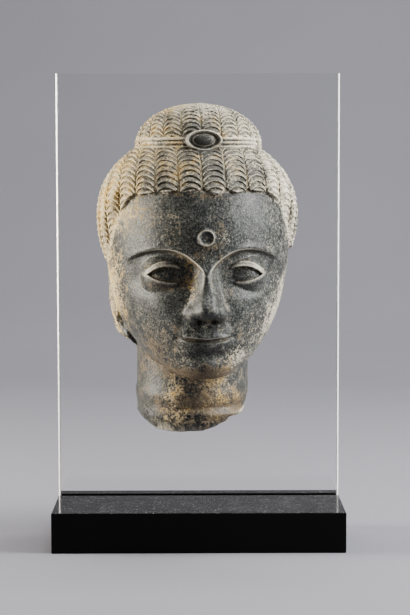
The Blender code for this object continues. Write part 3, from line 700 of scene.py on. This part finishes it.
# Each cell face's corners, walked around it, and its four sides as numbers of cell edges
def faceLoops():
    ends = [edgeEnds(*edge) for edge in cellEdges]
    loops = []
    for axis in range(3):
        for side in (0, 1):
            u, v = (axis + 1) % 3, (axis + 2) % 3
            ring = []
            for du, dv in ((0, 0), (1, 0), (1, 1), (0, 1)):
                corner = [0, 0, 0]
                corner[axis], corner[u], corner[v] = side, du, dv
                ring.append(tuple(corner))
            sides = []
            for i in range(4):
                pair = {ring[i], ring[(i + 1) % 4]}
                sides.append([number for number, both in enumerate(ends) if set(both) == pair][0])
            loops.append((ring, sides))
    return loops


# Sorts a cell's crossed edges into the sheets of surface that pass through it
def sortSheets(cells, inside, crossed):
    sheet = np.tile(np.arange(12), (len(cells), 1))
    for ring, sides in faceLoops():
        cut = crossed[:, sides]
        many = cut.sum(1)
        for i in range(4):
            for j in range(i + 1, 4):
                joined = (many == 2) & cut[:, i] & cut[:, j]
                if (j - i) % 2 == 1:
                    shared = ring[j] if j - i == 1 else ring[0]
                    joined |= (many == 4) & inside[tuple((cells + shared).T)]
                a, b = sheet[:, sides[i]], sheet[:, sides[j]]
                low, high = np.minimum(a, b), np.maximum(a, b)
                rows = np.nonzero(joined & (low != high))[0]
                block = sheet[rows]
                sheet[rows] = np.where(block == high[rows, None], low[rows, None], block)
    return sheet


# The eight views of a grid that hold the eight corners of every cell
def cornerViews(grid):
    a, b, c = [count - 1 for count in grid.shape]
    return [grid[i:a + i, j:b + j, k:c + k] for i in (0, 1) for j in (0, 1) for k in (0, 1)]


# Turns a form into a closed mesh: a point for each sheet of surface in each grid cell,
# moved onto the surface, and a quad for each grid edge that goes in or out.
def meshFromForm(form, low, high, cell):
    low, high = np.array(low), np.array(high)
    step = 4
    counts = (np.ceil((high - low) / (cell * step)).astype(int)) * step + 1
    ticks = [low[i] + cell * np.arange(counts[i]) for i in range(3)]

    # A coarse grid finds where the surface may pass, and only there the fine grid is worked out
    coarse = np.meshgrid(*[line[::step] for line in ticks], indexing="ij")
    distance = form(*coarse)
    near = np.abs(distance) < 1.7 * cell * step
    active = np.zeros([count - 1 for count in distance.shape], bool)
    for view in cornerViews(near):
        active |= view
    fine = active.repeat(step, 0).repeat(step, 1).repeat(step, 2)
    wanted = np.zeros(counts, bool)
    for view in cornerViews(wanted):
        view |= fine
    values = np.full(counts, 1.0)
    values[:-1, :-1, :-1] = distance[:-1, :-1, :-1].repeat(step, 0).repeat(step, 1).repeat(step, 2)
    index = np.nonzero(wanted)
    values[index] = form(*[ticks[i][index[i]] for i in range(3)])

    inside = values < 0.0
    within = np.zeros([count - 1 for count in counts], np.int8)
    for view in cornerViews(inside):
        within += view
    mixed = (within > 0) & (within < 8)
    cells = np.array(np.nonzero(mixed)).T
    number = np.full(mixed.shape, -1, np.int64)
    number[mixed] = np.arange(len(cells))

    crossed = np.zeros((len(cells), 12), bool)
    place = np.zeros((len(cells), 12, 3))
    for edge, (axis, first, second) in enumerate(cellEdges):
        start, end = edgeEnds(axis, first, second)
        a, b = values[tuple((cells + start).T)], values[tuple((cells + end).T)]
        crossed[:, edge] = (a < 0.0) != (b < 0.0)
        share = np.where(crossed[:, edge], a / np.where(crossed[:, edge], a - b, 1.0), 0.0)
        place[:, edge] = cells + start
        place[:, edge, axis] += share

    sheet = sortSheets(cells, inside, crossed)
    vertex = np.full((len(cells), 12), -1, np.int64)
    points, total = [], 0
    for first in range(12):
        member = crossed & (sheet == first)
        rows = np.nonzero(member.any(1))[0]
        if len(rows) == 0:
            continue
        numbers = np.full(len(cells), -1, np.int64)
        numbers[rows] = total + np.arange(len(rows))
        vertex = np.where(member, numbers[:, None], vertex)
        weight = member[rows][:, :, None]
        points.append((place[rows] * weight).sum(1) / weight.sum(1))
        total += len(rows)
    points = low + cell * np.concatenate(points)

    quads = []
    unit = np.eye(3, dtype=int)
    for axis in range(3):
        u, v = (axis + 1) % 3, (axis + 2) % 3
        below = np.take(inside, range(counts[axis] - 1), axis)
        above = np.take(inside, range(1, counts[axis]), axis)
        edges = np.array(np.nonzero(below != above)).T
        ring = []
        for du, dv in ((1, 1), (0, 1), (0, 0), (1, 0)):
            owner = number[tuple((edges - du * unit[u] - dv * unit[v]).T)]
            first, second = (du, dv) if u < v else (dv, du)
            ring.append(vertex[owner, axis * 4 + first * 2 + second])
        quad = np.stack(ring, 1)
        outward = inside[tuple(edges.T)]
        quads.append(np.where(outward[:, None], quad, quad[:, ::-1]))
    quads = np.concatenate(quads)

    nudge = 0.2 * cell
    for _ in range(2):
        height = form(*points.T)
        slope = np.stack([(form(*(points + nudge * axis).T) - height) / nudge for axis in np.eye(3)], 1)
        move = -height / np.maximum((slope ** 2).sum(1), 0.05)
        move = move[:, None] * slope
        length = np.maximum(np.linalg.norm(move, axis=1), 1e-9)
        points += move * np.minimum(1.0, 0.5 * cell / length)[:, None]
    return largestPiece(points, quads)


# Drops crumbs of stone that roughness leaves loose of the rest
def largestPiece(points, quads):
    label = np.arange(len(points))
    while True:
        lowest = label[quads].min(1)
        lower = label.copy()
        for corner in range(4):
            np.minimum.at(lower, quads[:, corner], lowest)
        lower = lower[lower]
        if (lower == label).all():
            break
        label = lower
    kept = quads[label[quads[:, 0]] == np.bincount(label).argmax()]
    used, renumbered = np.unique(kept, return_inverse=True)
    return points[used], renumbered.reshape(-1, 4)


# Stone colours and finish

stoneLook = {
    "dark": (0.0175, 0.0200, 0.0208),
    "mid": (0.047, 0.0525, 0.0520),
    "light": (0.122, 0.129, 0.120),
    "ochre": (0.60, 0.41, 0.15),
    "sand": (0.60, 0.49, 0.30),
    # pale: pale earth, also painted highlights on edges, cords and rims
    "pale": (0.66, 0.61, 0.49),
    # brown: thin brown earth and grit, also painted shade in hollows
    "brown": (0.085, 0.068, 0.045),
    "shade": (0.050, 0.046, 0.036),
    # rim: painted highlight along the rims of the locks
    "rim": (0.78, 0.72, 0.58),
    # dust: brown dust, also painted shade under the chin and in hollows
    "dust": (0.15, 0.112, 0.072),
    "stain": (0.24, 0.20, 0.13),
    # groove: painted shade between the fillet's beads and around the jewel's rims
    "groove": (0.045, 0.047, 0.044),
    "gloss": 0.40,            # roughness where hands and time have polished it
    "dull": 0.85,             # roughness under the earth
    "reflect": 0.25,
    "speckle": 1.0,
    "grit": 0.75,
    "bump": 0.6,
    "bumpHeight": 0.0006,
}


# A place on the stone in the carving's own units
def carvedPlace(place):
    return [axis * hundredths for axis in axes(place)]


# The same columns and arches as the carving, as fine as the picture needs: painted highlights along the
# rims and painted shade in the hollows
def lockLines(place, locks, shape, middle, level, height):
    x, y, z = carvedPlace(place)
    across, ahead = x - middle[0], y * -1.0 + middle[1]
    along = across.math("ARCTAN2", ahead) * (across * across + ahead * ahead).math("SQRT")
    side = ((along + locks["start"]) * (1.0 / locks["width"])).math("FRACT") * 2.0 - 1.0
    bent = side * shape["roundness"]
    bend = 1.0 - (1.0 - bent * bent).math("SQRT")
    rise = ((z - level) * (1.0 / height)).math("ARCSINE")
    row = rise * (math.degrees(1.0) / locks["rowAngle"]) + bend * locks["arch"]
    below = 1.0 - row.math("FRACT")
    edge = 1.0 - side.math("ABSOLUTE")
    rim = below.falls(0.04, 1.2 * shape["rim"]) * edge.between(0.0, 0.1)
    hollow = below.between(0.16, 0.30) * below.between(0.45, 1.0, 1.0, 0.25)
    return rim, hollow, edge


# Light and dark lines of the fillet, the jewel and the forehead's ring, from the sizes that
# they are carved by: painted highlights on the cords and rims, painted shade between the beads
# and around the jewel's rims, and the jewel's dark middle
def bandLines(place, grains):
    x, y, z = carvedPlace(place)
    across = x - topknot["shift"]
    offset = z - fillet["level"]
    wave = (offset * (2.0 * math.pi / fillet["spacing"])).math("COSINE")
    band = offset.math("ABSOLUTE").falls(fillet["halfHeight"] - 0.3, fillet["halfHeight"])
    over, up = across * (1.0 / jewel["halfWidth"]), (z - jewel["level"]) * (1.0 / jewel["halfHeight"])
    reach = (over * over + up * up).math("SQRT") + grains * 0.06
    outside = reach.between(0.98, 1.06)
    near = across.math("ABSOLUTE").between(9.0, 17.0, 0.9, 0.25)
    front = y.falls(-3.0, -1.0)
    groove = wave.falls(-0.6, 0.1) * band * outside * near
    ring = reach.between(0.60, 0.66) * reach.falls(0.82, 0.90) * 0.6
    side = reach.between(0.96, 1.0) * reach.falls(1.05, 1.15) * 0.6
    middle = reach.between(0.40, 0.50, 0.6, 0.0)
    light = wave.between(0.3, 0.9) * band * outside * 0.5
    outline = reach.between(0.50, 0.56) * reach.falls(0.58, 0.64) * 0.55
    rim = reach.between(0.86, 0.91) * reach.falls(0.94, 0.98) * 0.8
    mark = ((x * x + (z - browMark["level"]) * (z - browMark["level"])).math("SQRT")
            - browMark["radius"]).math("ABSOLUTE").between(0.06, 0.26, 0.5, 0.0)
    return light + (outline + rim + mark) * front, groove + (ring + middle + side) * front


def makeStone(look):
    material, tree, shader, place = newMaterial("stone")
    place = turned(place, -headTurn)
    earth, dust, rim, locks = [attribute(tree, name) for name in ("earth", "dust", "rim", "locks")]
    clouds = noise(place, 30.0, 3.0, 0.55)
    patches = noise(place, 7.0, 4.0, 0.6, 0.4)
    grains = noise(place, 1.7, 3.0, 0.65)
    specks = noise(place, 0.8, 2.0, 0.7)
    x, _, z = axes(place)

    # Bare stone, speckled
    tone = patches * 0.8 + grains * look["speckle"] + specks * look["speckle"] + 0.5
    colour = ramp(tone, ((0.30, look["dark"]), (0.50, look["mid"]), (0.72, look["light"])))

    # Earth: ochre on the left, paler on the right, where the paleness is partly a painted sheen; brown
    # where it is thin
    warm = x * -14.0 + clouds * 3.0 + patches * 2.0 + 0.35 + z.between(0.03, 0.05, 0.7, 0.0)
    warm = warm.between(0.0, 1.0)
    soil = mix(warm, look["pale"], look["sand"])
    soil = mix((warm * (clouds * 2.5 + patches * 3.0)).between(0.0, 0.55), soil, look["ochre"])
    soil = mix((grains * 2.0 + specks).between(0.0, 0.45, 0.0, 0.7), soil, look["brown"])
    soil = mix((patches * 1.6 + grains).between(0.05, 0.5, 0.0, 0.5), soil, look["stain"])
    spread = earth + clouds * 1.1 + patches * 1.2 + grains * 2.2 + specks * 1.1
    cover = spread.between(0.35, 0.80)
    film = spread.between(-0.1, 0.6, 0.0, 0.06)
    # Brown dust, with painted shade under the chin and in hollows
    stain = (dust + clouds * 1.2 + patches * 1.6 + grains * 1.6).between(0.30, 0.85, 0.0, 0.85)
    colour = mix(stain, colour, look["dust"])
    colour = mix(cover.math("MAXIMUM", film), colour, soil)

    # Rims and hollows of the locks: painted highlights along the rims, painted shade in the hollows
    knot = (z * hundredths).between(fillet["level"] - 0.2, fillet["level"])
    capRim, capHollow, capEdge = lockLines(place, hairLocks, lockShape, (0.0, 0.0),
                                           hair["level"], hair["rise"])
    topRim, topHollow, topEdge = lockLines(place, topknotLocks, lockShape,
                                           (topknot["shift"], topknot["back"]),
                                           topknot["level"], topknot["rise"])
    wear = (clouds * 1.5 + patches * 2.0 + grains * 1.5).between(-0.75, 0.15, 0.6, 1.0)
    hollow = (capHollow + (topHollow - capHollow) * knot) * locks
    line = (capRim + (topRim - capRim) * knot) * locks * wear
    colour = mix(hollow * (patches * 1.5 + grains).between(-0.5, 0.3, 0.92, 0.55), colour, look["shade"])
    colour = mix(line * 0.95, colour, look["rim"])
    seam = (capEdge + (topEdge - capEdge) * knot).falls(0.02, 0.1) * locks
    colour = mix(seam * 0.55 * wear, colour, look["sand"])

    # Fillet and jewel: painted highlights on the cords and rims, painted shade between them
    light, deep = bandLines(place, grains)
    colour = mix(deep, colour, look["groove"])
    colour = mix(light * wear, colour, look["pale"])

    # Other edges are paler, rubbed stone with a painted highlight; other hollows get a brown painted shade
    colour = mix(rim.between(0.56, 0.90, 0.0, 0.6) * wear, colour, look["pale"])
    colour = mix(rim.between(0.10, 0.44, 0.75, 0.0), colour, look["brown"])

    # Grit: fine dark and light grains over everything
    grit = noise(place, 1.05, 1.0, 0.5) + noise(place, 0.6, 1.0, 0.5) * 0.6
    colour = mix(grit.between(0.05, 0.28, 0.0, look["grit"]), colour, look["brown"])
    paleGrit = grit.between(-0.24, -0.05, look["grit"], 0.0) * (cover * 0.6 + 0.22)
    colour = mix(paleGrit, colour, look["pale"])

    polish = cover.between(0.0, 0.7, look["gloss"], look["dull"]) + grains * 0.5 + line * 0.1
    relief = grains * 0.7 + specks * 0.5 + cover * 0.25 + line * 1.8 - hollow * 0.8
    plugAll(tree, shader, {"Base Color": colour, "Roughness": polish,
                           "Specular IOR Level": look["reflect"],
                           "Normal": bumped(relief, look["bump"], look["bumpHeight"])})
    return material


# Keeps one number from 0 to 1 for each point, for the stone's material to read
def storeShare(mesh, name, values):
    layer = mesh.attributes.new(name, "FLOAT", "POINT")
    layer.data.foreach_set("value", np.clip(values, 0.0, 1.0).astype(np.float32))


# Above 0 on edges and below 0 in hollows, felt at a distance from the surface
def edgeMeasure(points, normals, distance):
    out, into = headForm(*(points + distance * normals).T), headForm(*(points - distance * normals).T)
    return (out + into) / np.maximum(out - into, 0.2 * distance)


# Roughness of the worn stone, laid on the finished mesh along its normals
def weather(points, normals, zones):
    x, y, z = points.T
    grain = roughness(x, y, z, 0.9) * 0.5 + roughness(z, x, y, 0.45) * 0.35
    wear = roughness(y, z, x, 2.6)
    pits = np.clip(roughness(x, z, y, 1.3) - 0.42, 0.0, 1.0)
    rough = 0.020 + 0.10 * zones
    move = rough * grain + 0.05 * zones * wear - (0.10 + 0.30 * zones) * pits
    return points + normals * move[:, None]


# Patches of earth: amount, place and spread across, height and spread up
earthPatches = {
    "temple": (0.45, -23.0, 6.5, 66.0, 7.0),
    "foreheadLeft": (0.20, -11.0, 7.0, 65.0, 6.0),
    "foreheadTop": (0.28, 4.0, 9.0, 71.0, 4.0),
    "besideRing": (0.45, 5.5, 3.0, 60.5, 2.5),
    "leftSide": (0.80, -26.5, 4.5, 42.0, 18.0),
    "rightSide": (0.70, 24.5, 4.5, 40.0, 14.0),
    "noseLeft": (0.35, -4.0, 2.2, 44.0, 7.0),
    "lip": (0.35, 0.0, 6.0, 35.0, 2.0),
    "jawRight": (0.50, 19.0, 5.0, 33.0, 8.0),
    "chinLeft": (0.50, -6.5, 4.5, 27.0, 5.0),
    "chinRight": (0.65, 10.5, 5.5, 25.5, 5.0),
    "underChin": (0.35, 0.0, 15.0, 17.5, 3.5),
    "neck": (0.28, 6.0, 12.0, 12.5, 3.5),
    "neckLeft": (0.55, -9.5, 4.0, 13.5, 3.5),
    "neckLow": (0.60, -6.0, 8.0, 6.0, 3.5),
    "hairLeft": (0.45, -26.0, 9.0, 76.0, 12.0),
    "hairRight": (0.30, 27.0, 7.0, 72.0, 12.0),
    "knotLeft": (0.40, -15.0, 8.0, 92.0, 7.0),
    "knotRight": (0.40, 14.0, 7.0, 92.0, 8.0),
    "knotTop": (0.35, 0.0, 14.0, 99.0, 3.0),
    "jewel": (-0.90, 0.5, 4.0, 88.6, 2.6),
    "neckFacet": (-0.80, -15.5, 2.4, 11.0, 4.5),
    "neckFoot": (0.15, 0.0, 14.0, 3.5, 2.0),
}


# Patches of thin brown dust, with painted shade under the chin, in the same order
dustAndShadePatches = {
    # painted shade under the chin, with brown dust
    "underChin": (0.85, 0.0, 17.0, 20.5, 3.5),
    "neck": (0.95, 0.0, 18.0, 10.0, 7.0),
    "jawLeft": (0.55, -15.0, 6.0, 26.0, 7.0),
    "mouthLeft": (0.50, -9.0, 4.0, 33.0, 6.0),
    "mouthRight": (0.40, 10.0, 4.0, 31.0, 6.0),
    "underEyeLeft": (0.45, -13.0, 7.0, 46.5, 2.5),
    "underEyeRight": (0.40, 13.0, 7.0, 46.5, 2.5),
    "noseSideLeft": (0.40, -6.0, 2.5, 45.0, 7.0),
    "noseSideRight": (0.35, 6.0, 2.5, 45.0, 7.0),
    "foreheadMiddle": (0.50, 4.0, 5.0, 65.0, 7.0),
    "hairEdge": (0.55, 0.0, 16.0, 72.5, 1.6),
}


def patchShare(patches, x, z):
    share = np.zeros(len(x))
    for amount, place, spread, level, rise in patches.values():
        share = share + amount * bump(x - place, spread) * bump(z - level, rise)
    return share


headCarving = {
    "cell": 0.25,     # hundredths of headHeight
    "triangles": 197000,
    "margin": 4.0,
}


def carveHead(settings):
    margin = settings["margin"]
    front = -skull["depth"] - nose["height"] - margin
    side = hair["halfWidth"] + margin
    top = topknot["level"] + topknot["rise"] + margin
    points, quads = meshFromForm(headForm, (-side, front, -margin), (side, headBack + margin, top),
                                 settings["cell"])
    print("head carved:", len(quads), "quads")
    mesh = bpy.data.meshes.new("stone_head")
    mesh.from_pydata(points.tolist(), [], quads.tolist())
    head = addObject("stone_head", mesh)
    fewer = head.modifiers.new("Decimate", "DECIMATE")
    fewer.ratio = min(1.0, settings["triangles"] / (2.0 * len(quads)))
    fewer.use_collapse_triangulate = True
    graph = bpy.context.evaluated_depsgraph_get()
    reduced = bpy.data.meshes.new_from_object(head.evaluated_get(graph))
    head.modifiers.clear()
    head.data = reduced
    print("head reduced:", len(reduced.polygons), "triangles")
    return head


def readPoints(mesh):
    count = 3 * len(mesh.vertices)
    points, normals = np.empty(count, np.float32), np.empty(count, np.float32)
    mesh.vertices.foreach_get("co", points)
    mesh.vertex_normals.foreach_get("vector", normals)
    return points.reshape(-1, 3).astype(float), normals.reshape(-1, 3).astype(float)


# Wears the stone, lays earth and dust on it (the dust with painted shade under the chin and in hollows),
# stores where the material paints highlights on edges and shade in hollows, and turns it to the side at
# its real size
def ageStone(mesh):
    points, normals = readPoints(mesh)
    x, y, z = points.T
    cap = np.minimum(hairForm(x, y, z), topknotForm(x, y, z))
    band = np.minimum(filletForm(x, y, z), jewelForm(x, y, z))
    lockShare = ease((1.0 - cap) / 0.8) * ease((band - 0.15) / 0.3)
    hairShare = ease((1.2 - np.minimum(cap, band)) / 1.2)
    broken = ease((breakForm(x, y, z) + 0.6) / 0.5)
    backward = headBack - straightBack(x, y)
    back = ease((1.6 - backward) / 0.8)
    stumps = ease((y - 1.0) / 3.0) * (1.0 - hairShare)
    zones = np.clip(0.15 + 0.55 * hairShare + broken + back + 0.9 * stumps, 0.0, 1.2)
    bend = 0.5 * (edgeMeasure(points, normals, 0.4) + edgeMeasure(points, normals, 1.0))
    points = weather(points, normals, zones * ease(backward / 0.4))
    # rim: high on edges, which the material paints paler (rubbed stone and painted highlight), low in
    # hollows, which it paints with brown shade
    rim = 0.5 + 0.9 * bend * (1.0 - 0.7 * lockShare)
    hollows, edges = np.clip(-bend, 0.0, 1.0), np.clip(bend, 0.0, 1.0)
    middle = 1.0 - ease((np.abs(x + 1.0) - 13.0) / 9.0)
    earth = -0.02 + hairShare * (0.55 - 0.14 * middle) + patchShare(earthPatches, x, z)
    earth = np.maximum(earth, 0.75 * ease((y - 2.0) / 6.0))
    earth = earth + (0.8 * hollows - 0.9 * edges) * (1.0 - hairShare)
    # dust: brown dust, with painted shade under the chin and in hollows
    dust = patchShare(dustAndShadePatches, x, z) * (1.0 - hairShare) + 0.6 * hollows
    # wear and locks: how strongly the locks' painted rim highlights and painted hollow shade show, weaker
    # at the sides
    wear = ease(0.75 + 0.8 * roughness(x, y, z, 7.0)) * (1.0 - 0.7 * ease((np.abs(x + 2.0) - 17.0) / 9.0))
    locks = lockShare * wear * (1.0 - np.maximum(broken, back))

    turn = np.array([[turnCos, turnSin, 0.0], [-turnSin, turnCos, 0.0], [0.0, 0.0, 1.0]])
    mesh.vertices.foreach_set("co", (points @ turn * headHeight / 100.0).astype(np.float32).ravel())
    for name, values in (("earth", earth), ("dust", dust), ("rim", rim), ("locks", locks)):
        storeShare(mesh, name, values)


def makeStoneHead():
    head = carveHead(headCarving)
    ageStone(head.data)
    head.data.shade_smooth()
    head.data.update()
    head.location = headPlace
    head.data.materials.append(makeStone(stoneLook))
    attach(head, "root")
    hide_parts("head")


makeStoneHead()
print("stone head is in place")


# Clear panel, with its polished side edges brighter than its faces: the edges are an opaque pale material,
# a painted glint standing in for the light that clear acrylic edges catch

panelLook = {
    "tint": (0.985, 0.992, 0.992),
    # edge: opaque pale colour of the side edges, a painted glint
    "edge": (0.80, 0.80, 0.78),
    "bending": 1.49,         # index of refraction of acrylic
    "corner": 0.0010,
}


def makeClear(look):
    material, tree, shader, place = newMaterial("clear_acrylic")
    haze = noise(place, 17.0, 4.0, 0.6)
    plugAll(tree, shader, {"Base Color": look["tint"], "Transmission Weight": 1.0,
                           "IOR": look["bending"], "Roughness": haze.between(0.05, 0.4, 0.0, 0.02)})
    return material


# Side edges: an opaque pale material, a painted glint
def makePanelEdge(look):
    material, tree, shader, place = newMaterial("panel_edge")
    marks = noise(place, 1.1)
    plugAll(tree, shader, {"Base Color": look["edge"],
                           "Roughness": marks.between(-0.2, 0.2, 0.12, 0.35)})
    return material


def makePanel(look):
    low, high, cut = Vector(panelLow), Vector(panelHigh), look["corner"]
    outline = [(low.x + cut, low.y), (high.x - cut, low.y), (high.x, low.y + cut),
               (high.x, high.y - cut), (high.x - cut, high.y), (low.x + cut, high.y),
               (low.x, high.y - cut), (low.x, low.y + cut)]
    count = len(outline)
    points = [(x, y, z) for z in (low.z, high.z) for x, y in outline]
    faces = [tuple(reversed(range(count))), tuple(range(count, 2 * count))]
    faces += [(i, (i + 1) % count, (i + 1) % count + count, i + count) for i in range(count)]
    mesh = bpy.data.meshes.new("clear_panel")
    mesh.from_pydata(points, [], faces)
    panel = addObject("clear_panel", mesh)
    mesh.materials.append(makeClear(look))
    mesh.materials.append(makePanelEdge(look))
    for face in mesh.polygons:
        face.material_index = 1 if abs(face.normal.x) > 0.5 else 0
    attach(panel, "root")
    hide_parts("panel")


makePanel(panelLook)
print("panel is in place")


# Black block: polished, with faint wiping marks, a little dust on top, and painted light that lifts the
# dark line of the panel's slot

baseLook = {
    "colour": (0.0080, 0.0080, 0.0082),
    "gloss": 0.08,
    "wipedGloss": 0.20,
    "reflect": 0.085,
    # dust: dust on top, also the colour of the painted light behind the slot
    "dust": (0.55, 0.54, 0.52),
}


# Wiping marks, long across and short front to back
def clouded(place):
    stretched = addNode(place.tree, "ShaderNodeMapping", {"Vector": place, "Scale": (0.35, 1.0, 1.0)})
    return noise(Wire(place.tree, stretched.outputs["Vector"]), 9.0, 5.0, 0.65, 0.8)


def makeBlack(look):
    material, tree, shader, place = newMaterial("black_acrylic")
    normal = addNode(tree, "ShaderNodeNewGeometry", {}).outputs["Normal"]
    upward = axes(Wire(tree, normal))[2].between(0.5, 0.9)
    wiped = clouded(place)
    patches = noise(place, 14.0, 3.0, 0.6)
    fine = noise(place, 1.3, 2.0, 0.5)
    _, y, z = axes(place)
    # Painted light: a faint pale film below the top, from the panel's slot back, lifts the slot's dark
    # line
    groove = z.falls(baseTop - 0.001, baseTop - 0.0005)
    groove = groove * y.between(panelLow.y - 0.002, panelLow.y - 0.001)
    specks = fine.between(0.12, 0.18) * (patches + wiped).between(-0.1, 0.3, 0.3, 1.0) * upward
    film = (fine + patches).between(-0.25, 0.35, 0.0, 0.05) * upward
    colour = mix(specks * 0.5 + film + groove * 0.04, look["colour"], look["dust"])
    gloss = wiped.between(-0.15, 0.25, look["gloss"], look["wipedGloss"]) + specks * 0.6
    plugAll(tree, shader, {"Base Color": colour, "Roughness": gloss,
                           "Specular IOR Level": look["reflect"]})
    return material


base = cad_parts["base"]
base.data.materials.clear()
base.data.materials.append(makeBlack(baseLook))
print("block is finished")
